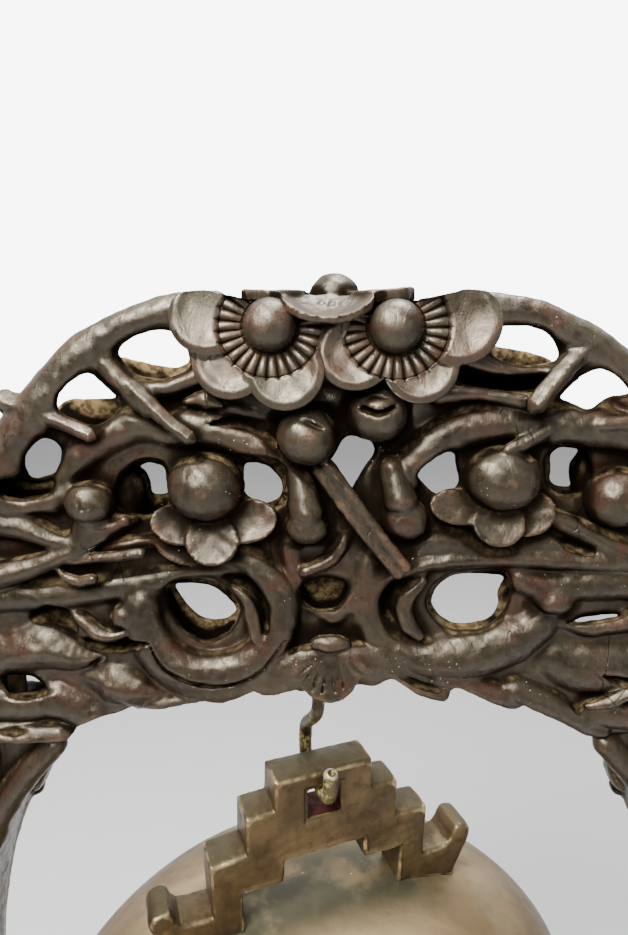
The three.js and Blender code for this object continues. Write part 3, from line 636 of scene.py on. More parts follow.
# Hollows that end at the back layer: the outline | how far back they reach.
POCKETS = """
-56.6,115.2 -52.2,118.6 -44.2,120.4 -37.8,116.5 -37.5,110.5 -44,107.4 -52,108.2 -55.5,111.3 | 3
-74.3,102 -66,109.7 -56.1,102 -59.6,97.2 -64.3,94.7 -73.6,97.7 | -2
-58.3,81.7 -53.2,85.1 -45.6,84.5 -44.4,72.9 -50.7,70 -56.8,69.8 -61.1,72.9 | -4
41.6,115.2 42.9,120.9 55.8,120.4 60.1,114.7 58.3,111.6 49.8,111.1 43.8,112.6 | 3
-47.4,49.4 -39.7,51.5 -30.3,50.3 -25.6,43 -28.7,35.7 -35.8,31.6 -42.6,35.7 -46.3,42.4 | -4
27,44.9 30.8,51.5 47.7,53.9 51.3,50.3 49.6,41.2 43,35.7 33.7,35.7 28.9,40.6 | -6
31.8,109 44.6,107.9 56.6,108.4 55,104.7 44.8,104.4 34.6,106.3 | -8
58.1,87.9 68.6,89.8 71.3,82.8 71.3,76.6 63.1,75.5 59,78.9 | -4
-91.4,80.6 -85.4,80 -76,80.6 -77.5,76.1 -86.4,74.9 -91.9,76.1 | -10
-27.4,86.7 -12.9,86.2 -11.1,74.4 -19.5,70.9 -26.1,74.4 | -8
-9,50.3 -0.5,52.1 5.2,49.7 3,43 -3.9,41.8 -8.4,44.9 | -9
"""
# The crown's lower edge seen from the front, with its leaf tips, and the space under it.
LOWER_EDGE = places("""
-117.2,-0.4 -81.3,-1.8 -77.5,1.6 -74.9,4.2 -70.3,6.2 -65.8,6.2 -63.3,7.5 -59.3,9.8 -58.8,8.2 -57.1,7.9 -50.7,9.2 \
  -37.3,12.8 -34.6,11.8 -32,11.5 -26.9,13.7 -22.7,16 -20.4,15 -16.8,15 -12.4,16.7 -10.3,17.3 -8.2,15 -5.6,12.4 \
  -0.9,11.8 3.6,12.8 5.6,14.4 7.4,16.7 11.5,17.3 15.9,19.2 17.6,20.5 20.9,18.6 26.3,15 30.5,13.4 33.2,13.1 34.9,14.4 \
  36.2,17.6 38.6,17 44.1,14.1 50.2,10.8 53.8,8.8 55.6,8.8 56.4,10.2 57.2,11.5 62.1,9.2 68.3,5.6 74.6,1.9 81.2,-1.8 \
  83.5,-3.8 108.2,-3.8 112.5,-41.6 -121.9,-41.6
""")
FRONT_LEFT = """
# The rim, its junction, the sleeve and the main limbs.
limb -30.8,126.1 -37.6,125.8 -44.2,124.8 -50.9,123 -57.7,120.2 -64.6,115.5 -72.7,107 -81.7,96.5 -90.4,84.9 | 4.4 4.6 \
  4.5 4 4.2 4.8 5.2 5.6 6 | -19.5 | flat 0.85 ridge 1.8
limb -67,114.7 -77.1,104.2 -87.1,91.7 -95.5,78.3 | 4.6 4.6 5.2 6 | -19 | flat 0.9 blend 1.8
limb -64.7,117.3 -60.3,111.6 -54.8,105.2 -48.6,99.9 | 3.6 3.4 3.2 2.8 | -18 -22 | ridge 1.6
limb -57.3,108.4 -51.6,105.2 -44.1,105.5 -36.5,108.4 -28.7,109.5 | 2.2 2.5 2.6 2.8 3 | -20 -19 | blend 1.5
limb -78.4,74.4 -74,81.3 -68.5,87.5 -61,92.5 -52.1,95.3 -42.9,92.5 | 5.4 5 5.2 5.6 5.4 4.4 | -15.5 | blend 1.8
limb -39.4,101.5 -34.3,102 -29.8,100.4 | 1.4 3 0.8 | -19.5 | ridge 1.5 blend 1.5
limb -39.7,94.5 -30,92.8 -22.4,89.8 -16.5,85.1 -11.6,78.9 -8.1,72.1 | 5.2 4.9 4.7 4.5 4.3 4.2 | -17.5 -19.5 | flat \
  0.85 blend 1.6
limb -32.1,99.8 -25.1,98.7 -17.5,97.1 | 1.2 2.4 1.6 | -17 -16 | ridge 1.6 blend 1
cut -34.2,95.5 -26.1,95.8 -19.1,92.8 | 0.5 1.5 0.8 | -19.5 | flat 2.4 blend 0.8
# The stem below the third opening, and the hollow's lip.
limb -94.8,74.4 -86.6,72.6 -78.8,73.8 -72.5,76.6 | 3.6 3 2.6 2.4 | -18.5
limb -98.2,68.6 -87.2,66.3 -79.1,62.8 -70.8,61 | 5.5 4.4 3.2 2.4 | -17 -19 | ridge 1.6
# Branch and twig to the left of the small bud.
limb -99.9,51.5 -88.3,53.9 -79,56.9 -69.7,60.7 -63.9,64 | 4.6 3.6 3 2.6 2 | -19.5 | ridge 1.6 blend 1.6
limb -100.6,44.9 -80.5,45.5 -66.1,47.3 -51.7,49.7 -37.3,52.7 -26,53.9 | 5 5 4.6 4.4 3.4 3 | -15.5 | blend 1.8
limb -62,66.3 -57.7,68.6 -54.7,68 | 1.6 2.8 0.6 | -19 | ridge 1.5 blend 1
# The left scroll: a broad band round the opening, an inner lip and a dark crescent between them.
limb -54.9,43 -53.6,33.8 -47.1,25 -35.5,21.2 -23.1,25 -15.7,34.4 -14.4,44.3 -19.8,52.7 -27,57.5 -36,58.1 -45.6,59.3 | \
  5.4 6 6.4 6.4 6 5.6 5.2 4.4 3.6 3.2 2.6 | -16.8 | blend 1.8
cut -29.9,50.7 -23.7,48.3 -19.8,42.9 -18.8,36.1 | 1.2 2 2 1.2 | -21 | flat 4 blend 0.4
limb -28.3,48.3 -24.4,44.7 -22.5,39.2 -21.1,33 -17.1,31.5 | 1.5 2.2 2.2 1.8 1 | -19.5 -21 | blend 0.8
# The scroll's skirt and the leaves under it.
limb -55.6,29.4 -47.9,20.5 -36.9,16 -26.8,16.7 -19.7,21.2 | 4 5.6 6 5.6 4.4 | -15 | ridge 1.7 blend 1.8
cut -52.5,32.5 -48.3,25 -39.7,19.9 -29.1,19.2 -20.2,23.7 -13.7,32.5 | 0.5 0.8 0.9 0.8 0.6 0.4 | -21.6 | flat 1.6 \
  blend 0.8
limb -58.9,11.5 -51.9,10.8 -42.9,12.1 -32.2,13.4 | 1.6 3.2 3 2.4 | -16.5 | ridge 1.5 blend 1.2
cut -58.5,8.2 -56,11.5 -52.3,14.4 | 0.6 1.3 0.6 | -22 | flat 4 blend 0.4
# Lower left: the hooked leaf, two broad leaves and the band to the post.
limb -76.3,40 -72.4,38.1 -68.1,34.4 -63.5,33.5 -58.2,35 | 1.4 2.4 2.8 2 0.6 | -17 -20 | ridge 1.4 blend 0.6
limb -51.9,44.9 -56.1,42.4 -59.7,39.4 -63.1,39.4 | 1.2 3.6 4.2 1.6 | -18.6 | flat 0.8 ridge 1.6 blend 1
cut -87.4,38.1 -82.1,39.4 -78.3,37.5 -75.7,33.2 | 1.2 3.4 3.4 1.4 | -19 | flat 3 blend 1
cut -76.9,32.5 -70.2,29.4 -61.4,29.4 -53.7,32.5 | 1 2.2 2.4 1.2 | -19.5 | flat 2.5 blend 0.8
limb -102.7,23.7 -94.2,26.9 -84.7,29.1 -76.2,26.9 -67.5,25.6 | 7 7.2 7.4 5.6 1.6 | -15 -17.5 | flat 0.75 ridge 1.45 \
  blend 1.2
cut -66.2,26.9 -69.9,24 -73.2,19.2 | 0.5 1.2 0.5 | -20 | flat 3 blend 0.4
limb -72.6,19.2 -65.1,17.3 -56.9,15.4 -50,13.4 | 3 7 6.4 3.4 | -15.5 | flat 0.8 ridge 1.5 blend 1.2
limb -104.1,10.8 -93.4,10.8 -82.6,11.5 -72.9,6.2 | 6.4 6.6 6.4 5.4 | -15.5 | flat 0.75 blend 1.4
cut -97.8,14.4 -90.7,14.1 -83.5,15.4 -78.1,16.7 | 0.6 1.2 1 0.4 | -21 | flat 2.5 blend 0.5
limb -105.1,0.9 -93.1,0.2 -81.1,0.9 | 4.4 4.8 4.2 | -17.5 | ridge 1.6 blend 1
cut -100.6,3.6 -94.7,3.2 -89.9,3.2 | 0.5 1.2 0.4 | -21.5 | flat 2.5 blend 0.4
"""
FRONT_RIGHT = """
limb 34.4,126.6 43.9,125.3 51.4,124.6 57.3,122.5 64.2,118.9 71.2,114.2 79.4,106.8 86.7,98.1 | 4.4 4.4 4 4.3 4.8 5 5.4 \
  6 | -19.5 | flat 0.85 ridge 1.8
limb 68,116.3 75.8,111.1 85.3,101.5 91.3,91.2 | 4 4.6 5 6 | -19 | flat 0.9 blend 1.8
limb 35.3,113.7 44.5,110.3 54.1,109.5 61.9,112.1 68.4,116.8 | 2.8 2.6 2.6 2.8 3.4 | -19 -20 | blend 1.5
limb 28.8,103.6 38.4,104.7 47.1,103.1 53.6,101.5 | 3 2.9 2.7 2.6 | -19 -21 | blend 1.2
limb 89.1,91.2 80.2,93.9 69.8,94.5 58.4,95 45.3,95.5 33.6,92.8 25.1,86.7 19.8,79.5 18.3,72.9 | 7 6.8 6.2 5.8 5.5 5.4 \
  5.1 4.7 4.4 | -16 -18 | flat 0.85
limb 72.4,95.5 79.9,96.1 88.7,95.5 | 2.4 2.8 3 | -21 | ridge 1.5 blend 1
limb 87.1,56.9 75.3,62.8 65.4,67.4 60.1,70.3 | 4.4 3.2 3 2.2 | -18 -19 | ridge 1.6 blend 1.6
# Leaf between the right small ball and the scroll, and the ridge over the scroll's opening.
limb 21,58.1 28.7,61.9 36.6,60.4 46.3,58.1 | 4 5.4 5 3 | -15.8 | ridge 1.5 flat 0.8 blend 1
limb 46.4,57.5 54.1,60.4 60.8,61.6 68.8,59.3 | 2.4 4.4 4.8 3.6 | -15.8 | ridge 1.5 flat 0.8 blend 1
limb 20,53.3 30.6,55.7 41.9,56.6 53.2,56.9 65.7,56.3 87.2,56.3 | 2.6 2.4 2.4 2.6 3 4 | -18.2 | ridge 1.5 blend 3
cut 62.8,64 67.6,61 73.3,59.3 | 0.6 1.6 1 | -20.5 | flat 3 blend 0.5
limb 53.6,50.3 61.7,47.9 70.8,48.5 87.8,49.7 | 3.8 5 5 5.4 | -15.6 | blend 1.8
ball 64.3,43.7 | 5 4 3.6 | -18.5 | blend 2
# The right scroll, with a broad skirt.
limb 19.4,53.3 12.7,48.5 10.5,40 15.3,30 26,25.6 39.4,26.2 52.5,30.7 61.4,36.3 65.7,40.6 | 3.6 4.6 5.2 5.8 7.2 8.4 \
  7.8 6 3 | -15 | flat 0.9 ridge 1.8 blend 1.6
cut 23.3,49.5 18.5,48 16.1,43.5 17,39.2 20.6,34.9 | 0.6 1.7 2.1 1.9 0.6 | -21 | flat 4 blend 0.4
limb 26.1,50.1 22.3,46.5 20.7,42.3 22.6,36.7 25.5,33.7 | 1.5 2.4 2.6 2.6 1.6 | -18.8 -19.5
# Saw-like leaf tips under the scroll.
limb 10.1,28.1 17.9,21.8 26.2,17.3 33.4,14.4 | 3.6 4 4 3 | -17 -18.5 | ridge 1.5 blend 0.8
cut 14.2,26.9 21.4,21.2 28.6,17.9 35.1,16.7 | 0.5 0.9 1.1 0.8 | -21.5 | flat 2.2 blend 0.5
limb 32,19.9 41,16.7 50,13.4 56.1,10.8 | 4.6 5 4.6 3 | -16 | ridge 1.6 blend 1
cut 66.9,32.5 62,27.5 56.6,21.2 52.2,16.7 | 0.8 1.1 1.1 0.6 | -20.4 | flat 2.4 blend 0.9
limb 67.5,25 75.3,22.4 83.5,22.4 93.3,23.7 | 7 9 9 8 | -14.5 | flat 0.75 blend 1.6
limb 54.6,15.4 64.4,10.8 74.3,5.6 81.9,0.9 | 5.4 5.8 5.2 4 | -15.5 | ridge 1.6 blend 1
limb 75.1,10.8 81.4,12.8 87.6,16 94,17.3 | 1 2.4 2.6 2.6 | -19.5 -21 | ridge 1.4 blend 0.6
cut 70.8,12.1 75.2,9.5 79.9,9.8 | 0.6 1.6 0.5 | -20.5 | flat 3 blend 0.4
cut 79.5,21.5 84.3,19.9 93.8,18.6 | 0.4 1.3 1.6 | -21 | flat 2.5 blend 0.4
limb 67.7,36.9 74.8,35.7 83.3,36.9 91.8,38.1 | 2 3.4 3.8 4 | -16.5 | ridge 1.6 blend 1
limb 75.4,6.9 83,8.2 95,6.9 | 3.6 5 5.4 | -17 | flat 0.8 blend 1.2
"""
FRONT_MIDDLE = """
cut -5.6,43 -0.4,38.1 4.7,43 | 1 1.4 1 | -19 | flat 2 blend 1
# The slope behind the hanging buds, and what lies round the dark hollow.
limb -22.6,101.7 -8.9,100.3 4.9,101.7 21.4,102.2 32.3,103.9 | 5 6 6 6 5 | -12 | blend 1.8
limb 13.1,88.6 9.4,81 5.2,72.1 | 2.6 2.5 2.6 | -11 | blend 1
limb 4.1,62.7 -0.4,56.2 -7.3,53.2 | 2.6 2.4 2 | -16 -19 | ridge 1.6 blend 0.8
limb -11.8,59.8 -10.2,51.7 -6.2,44 -0.3,38.5 | 3 3 3 2 | -16
limb 11.6,56.2 8.3,48.6 4.3,42.2 0.8,37.8 | 3.4 3.2 3 2 | -16
# Half a flower over the hook: its eye, and lobes with fine radial cuts.
limb -21.5,17.9 -13.8,20.5 -7.3,23.7 | 4.4 6.4 6.4 | -18.4 -19.4 | flat 0.5
limb 18.4,22.4 12,23.7 6.1,25 | 4.2 6.2 6.2 | -18.4 -19.4 | flat 0.5
petal -0.9,22 | 8.6 8 | -20.2 | tilt 14 thickness 4.2 dish -0.6 blend 1.6
limb -10.2,25.5 -0.4,28 8.9,26.2 | 2.4 3 2.4 | -18.5 | blend 1
ball -0.4,31.7 | 6.2 2.3 2.8 | -20.6 | blend 0.3
cut -7.8,32.7 -4.1,29.9 -0.2,28.7 3.8,29.9 6.9,32.7 | 0.4 0.8 0.9 0.8 0.4 | -23.2 | flat 2.2 blend 0.3
cut -7.8,33.3 -3.9,36.3 -0.2,37.6 3.5,36.3 6.9,33.3 | 0.4 0.8 0.9 0.8 0.4 | -22.4 | flat 2.2 blend 0.3
cut -11.3,25.4 -5.6,26.9 1.3,27.2 5.9,28.5 | 0.25 0.35 0.35 0.2 | -22.6 | flat 2 blend 0.2
cut -2.7,25.4 -5.6,17.8 | 0.55 0.25 | -22.5 -22.3 | flat 1.8 blend 0.3
cut -4.1,25.7 -8.5,19.7 | 0.55 0.25 | -22.5 -22.3 | flat 1.8 blend 0.3
cut -5.6,26 -10.2,22.2 | 0.55 0.25 | -22.5 -22.3 | flat 1.8 blend 0.3
cut -1.3,25.4 -2.7,17.1 | 0.55 0.25 | -22.5 -22.3 | flat 1.8 blend 0.3
cut 0.5,25.4 0.8,16.5 | 0.55 0.25 | -22.5 -22.3 | flat 1.8 blend 0.3
cut 2.2,25.7 3.7,17.8 | 0.55 0.25 | -22.5 -22.3 | flat 1.8 blend 0.3
cut 3.9,26.3 6.6,20.3 | 0.55 0.25 | -22.5 -22.3 | flat 1.8 blend 0.3
cut 5.3,26.9 9.4,22.8 | 0.55 0.25 | -22.5 -22.3 | flat 1.8 blend 0.3
"""
# Outside the picture: how the branches run on into the rim.
SIDES = """
limb 86,56.6 97,60 108,66 | 4.2 4.8 5.2 | -17 | ridge 1.8
limb 87,49.7 98,50 110,53 | 5.2 5 5 | -15.8 | ridge 1.8
limb 90,38.1 100,41 112,44 | 4 4.4 4.6 | -16.6 | ridge 1.8
limb 91,23.7 103,27 114,32 | 6.4 6 5 | -15.5 | ridge 1.8
limb 92,17.3 103,16 115,18 | 2.6 3.2 3.4 | -18.5 | ridge 1.8
limb 93,6.9 105,7.5 116,9 | 5 5.2 5 | -17 | ridge 1.8
limb -93,74.4 -100,76 -105,78 | 3.6 4 4.4 | -18.5 | ridge 1.8
limb -96,68.2 -104,69 -110,68 | 5 5.2 5 | -17.5 | ridge 1.8
limb -97,51.8 -107,50 -114,50 | 4.4 4.8 4.8 | -18.5 | ridge 1.8
limb -98,45 -108,43 -115,40 | 5 5 5 | -15.8 | ridge 1.8
limb -100,24.5 -110,23 -117,24 | 4.6 5 5 | -16.5 | ridge 1.8
limb -101,10.8 -111,10 -118,11 | 4.4 5 5 | -17 | ridge 1.8
"""
# What stands in front of the openings' edges on the left.
BUDS_LEFT = """
ball -67.1,73.5 | 6.9 6.4 5.9 | -19.5 | blend 0.7
limb -66.9,68.6 -69.5,64 -72.7,58.1 | 5.4 4.6 3.6 | -17.5 | ridge 1.7 blend 1
limb -64.8,66.3 -60.3,66.9 -54.4,68.6 | 4.6 3.4 0.7 | -18 | ridge 1.4 blend 0.8
cut -68.5,75.6 -67.6,72.8 | 0.4 0.5 | -25.8 | flat 2 blend 0.3
cut -67.6,72.8 -64.3,73.9 | 0.3 0.3 | -25.8 | flat 2 blend 0.3
ball -59.5,72.5 | 4.6 6 8 | -8 | blend 1.5
petal -43,66.6 | 8 5.6 | -18.6 | tilt 20 turn 14 thickness 2.4 dish 0.9
petal -23.6,67.9 | 8.6 6.2 | -18.6 | tilt 18 turn -8 thickness 2.4 dish 0.9
petal -33.3,62.6 | 7.4 7 | -20.6 | tilt 22 thickness 2.4 dish 0.9
petal -43,59.2 | 7.4 3.6 | -18.2 | tilt 18 turn 24 thickness 3 dish 0.3
ball -35,77.7 | 10.6 9.6 9.8 | -18.4 | blend 0.4
ball -7.2,66.9 | 6.3 6 4.9 | -20 | blend 0.4
limb -9.9,81.9 -8,76.3 -7.2,71.2 | 3.4 4.3 4.8 | -19 -22 | ridge 1.7 blend 0.5
# Twigs, each cut off at its end.
limb -53.6,106.1 -49.1,101.9 -44.1,97.1 -37.9,92.6 | 2.3 2.3 2.3 2.3 | -22 -25.5 | ridge 1.2 blend 0.6
cut -46,100.8 -42,97.1 -38.4,93.9 | 0.2 0.7 0.4 | -25.5 -28 | flat 1.5 blend 0.3
limb -89,101.7 -80.7,99.6 -72.4,96.3 -64.6,93.1 | 3.4 2.9 2.4 2.3 | -19 -23.5 | ridge 1.22 blend 1.2
limb -75.1,56.2 -67.8,57.7 -60.5,58.8 -52.6,60.3 | 1.6 1.8 1.8 1.8 | -19.5 -24 | ridge 1.2 blend 0.5
limb -66.9,58.8 -59.5,60.5 -51.1,62 | 2 2.6 2.2 | -17 -18 | ridge 1.5 blend 1.2
limb -78,54.4 -74.3,52.1 -70.4,51.2 -66.7,52.4 | 0.6 1.7 1.6 1.4 | -20 -23 | ridge 1.5 blend 0.5
"""
# What stands in front of the openings' edges on the right.
BUDS_RIGHT = """
ball 20.2,68.9 | 6.6 6.4 6.2 | -19 | blend 0.4
limb 16.3,83 17.5,78.6 18.7,74.6 | 3.8 4.3 4.8 | -19 -21.5 | ridge 1.7 blend 0.6
petal 35.6,71.8 | 8.6 5.2 | -18.4 | tilt 18 turn 6 thickness 2.4 dish 0.9
petal 55.6,70 | 7 6 | -18.8 | tilt 16 turn -30 thickness 2.4 dish 0.9
petal 46.3,67.6 | 7.4 6.6 | -20 | tilt 22 thickness 2.4 dish 0.9
ball 47.3,80.2 | 10.8 9.4 9.2 | -18 | blend 0.4
limb 47,88.9 50.7,90 54.8,92.2 58.4,94.3 | 1.6 2.2 2.6 2.8 | -22.5 -20 | ridge 1.6 blend 1
cut 49.6,88.2 53.5,86.8 57.1,87.6 | 0.6 1.5 0.8 | -25 | flat 2.5 blend 0.4
ball 79.8,74.6 | 9.2 8.2 8.6 | -18 | blend 0.6
ball 75.7,78 | 4.4 6 7 | -8 | blend 1.5
# The forked twig, its cut end hollowed.
limb 69.1,117.3 63.7,113.2 58.8,108 53,101.2 | 3.4 2.9 2.9 3 | -20 -25 | ridge 1.22 blend 1
dent 50.4,102 | 2.2 1.6 1.6 | -28 | blend 0.3
limb 72.6,95.8 79.5,95.8 87.7,94.2 | 2.2 2.3 2.6 | -21 -22 | ridge 1.22 blend 0.8
"""


def mirrored(points, side):
    """Places for the right side, brought to either side."""
    return [(side * x, z) for x, z in points]


def crown_core(clay):
    """The body between the two carved faces."""
    cut, x, y, z = clay.window((-130, -34, -5), (130, 34, 140))
    top = np.interp(x, *zip(*CROWN_TOP)) - z
    low = z - np.interp(x, *zip(*CROWN_LOW), left=-9, right=-9)
    inner = 5.0
    slab = np.maximum(np.maximum(inner - top, inner - low), np.abs(x) - CROWN_HALF + inner)
    depth = np.abs(y) - CORE_HALF + inner
    distance = np.sqrt(np.maximum(slab, 0)**2 + np.maximum(depth, 0)**2) + np.minimum(np.maximum(slab, depth), 0)
    clay.field[cut] = distance - inner


def pierce(clay):
    """Cuts the openings, each along its own line of sight, and the hollows in front of the back layer."""
    for line in OPENINGS.strip().splitlines():
        clay.cut_outline(places(line), (-THROUGH, THROUGH), 2.2)
    for line in POCKETS.strip().splitlines():
        outline, back = line.split(" | ")
        clay.cut_outline(places(outline), (-THROUGH, float(back)), 2.4)


def crown_buds_middle(clay):
    """The stick across the middle and the two buds that hang under the blossoms."""
    for shift in (-1.15, 1.15):
        clay.limb([(x + shift, z + 0.8 * shift) for x, z in [(-2.9, 83.9), (4.7, 73.9), (12.5, 63.8), (19.2, 55.5)]],
                  [1.9, 1.9, 1.8, 1.6], (-21.5, -25), ridge=1.6, blend=0.4)
    draw(clay, """
ball -6.9,92.3 | 8.3 8.4 8 | -21 | blend 0.4
cut -10.6,98.3 -6.5,96.7 -2.9,95.2 0.9,95.7 | 0.3 0.75 0.7 0.3 | -28 | flat 2 blend 0.3
cut -6.5,96.7 -5.5,99.8 | 0.6 0.3 | -28.5 -26.5 | flat 2 blend 0.3
ball 12.1,98.2 | 8.2 8 7.6 | -20 | blend 0.4
cut 4.2,101.7 8.4,100.2 11.5,99.2 15,100.2 18.1,102.3 | 0.3 0.9 1 0.9 0.3 | -26 -26.5 | flat 2.2 blend 0.3
cut 8.3,102.3 10.9,103.8 14,102.8 | 0.3 0.8 0.3 | -26 | flat 2 blend 0.3
""")


def crown_top_flower(clay):
    """The flower that lies on the crown's top: two side lobes seen edge on, a drooping front petal and a ball."""
    draw(clay, """
limb -21,125.4 -8,126.2 6,126.2 19,125.4 | 3.4 3.6 3.6 3.4 | -10.5 | blend 1
petal -15.6,128.9 | 8.8 10 | -14.8 | tilt 88 turn 1 thickness 3.3 dish 0.3 blend 0.3
petal 12.8,129.1 | 9 10 | -14.8 | tilt 88 turn -3 thickness 3.3 dish 0.3 blend 0.3
petal -9.5,129.6 | 10 10 | 4 | tilt 90 dish 0.4
petal 7.5,129.6 | 10 10 | 4 | tilt 90 dish 0.4
petal -1.6,124.3 | 11.8 7.4 | -24 | tilt 66 thickness 2.3 dish 1.4 blend 0.3 curl 2.6
limb -12,-15,126.6 -1,-18,125.4 11,-15,126.6 | 2.2 3.2 2.2 | 0 | blend 1
ball 0.4,128.9 | 7 7.2 6.8 | -11 | blend 0.2
""")
    for i in range(9):
        turn = math.radians(-64 + 16 * i)
        ahead, across = math.cos(turn), math.sin(turn)
        clay.limb([(0.4 + 7.4 * across, -12.5 - 6 * ahead, 128.0),
                   (-0.4 + 10.2 * across, -14 - 8.4 * ahead, 127.2 - 0.8 * ahead)], [0.8, 1.0], blend=0.3)


def crown_back(clay):
    """The plainer back: branches, scrolls and a few buds."""
    turns = [math.radians(a) for a in range(75, 331, 32)]
    scroll = [(33 + (21 - 0.6 * i) * math.cos(a), 40.5 + (21 - 0.6 * i) * math.sin(a)) for i, a in enumerate(turns)]
    for side in (-1, 1):
        for path, radii, depth in ((places("12,48 24,58 48,60 70,55 92,50 113,40"), [5, 5.2, 5.4, 5.8, 6.2, 6.5], 18),
                                   (places("18,24 36,21 56,17 78,10 98,8 112,12"), [5, 5.4, 6, 6.4, 6.8, 7], 18),
                                   (scroll, [3.4, 5.6], 19)):
            clay.limb(mirrored(path, side), radii, depth)
    draw(clay, """
limb -108,46 -93,62 -78,69 -69,82 -60,92 -44,92 -29,90 -15,84 -9,72 | 6.5 6 5.6 5.2 5 4.6 4.2 3.8 3.6 | 19
limb 108,50 96,72 84,90 66,93 50,93 36,93 24,86 15,75 11,64 | 6.5 6 5.6 5.2 5 4.6 4.4 4.2 4 | 19
""")
    for x, z, radius in ((-7, 92, 9), (12, 97, 8.2), (-35, 78, 10.4), (48, 82, 11)):
        clay.ball(x, z, radius, 25 - 0.7 * radius, blend=0.6)


def crown():
    """The carved arch without its two open blossoms."""
    clay = Clay((-131, -34, -4), (131, 31, 142), CARVING_STEP)
    crown_core(clay)
    for side in (-1, 1):
        clay.limb(mirrored(RIM, side), [4.0, 4.2, 6.4], -16, ridge=1.7, blend=2.5)
        # Behind, the openings leave the rim's lower ends and its middle.
        clay.limb(mirrored([(102, 70), *RIM[6:]], side), [2.0, 3.6, 5, 6.4], (17.5, 20.6), ridge=1.7, blend=2.5)
    draw(clay, "limb -43,121.4 -26,123 0,123.2 24,123 41,121.8 | 2.2 4 4 4 2.2 | 20.4 | ridge 1.7 blend 2.5")
    crown_back(clay)
    for strokes in (FRONT_LEFT, FRONT_RIGHT, FRONT_MIDDLE, SIDES):
        draw(clay, strokes)
    pierce(clay)
    for strokes in (BUDS_LEFT, BUDS_RIGHT):
        draw(clay, strokes)
    crown_buds_middle(clay)
    crown_top_flower(clay)
    clay.cut_outline(LOWER_EDGE, (-THROUGH, -5), 0.5, splay=False)
    cut, x, y, z = clay.window((-140, -THROUGH, -10), (140, THROUGH, 6))
    clay.blend_in(cut, z - FIT, 0, True)
    # A chip left loose inside by two openings.
    clay.ball(-63.6, 71.8, (3, 3, 6.5), -5.3, blend=0, away=True)
    carved_piece("crown_carving", clay, on_seat, WOOD, ["crown"], 11, unevenness=1.5)


def on_seat(points):
    """From heights over the crown's seat to the scene's."""
    return points + (0, 0, SEAT)


def ray_length(angle, petals):
    """How far an outline made of round petals reaches at each angle; petals are [angle, centre, radius, lift]."""
    best = np.zeros_like(angle)
    for turn, centre, radius, _ in petals:
        away = angle - math.radians(turn)
        inside = radius**2 - (centre * np.sin(away))**2
        reach = np.where(inside > 0, centre * np.cos(away) + np.sqrt(np.maximum(inside, 0)), 0)
        best = np.maximum(best, reach)
    return best


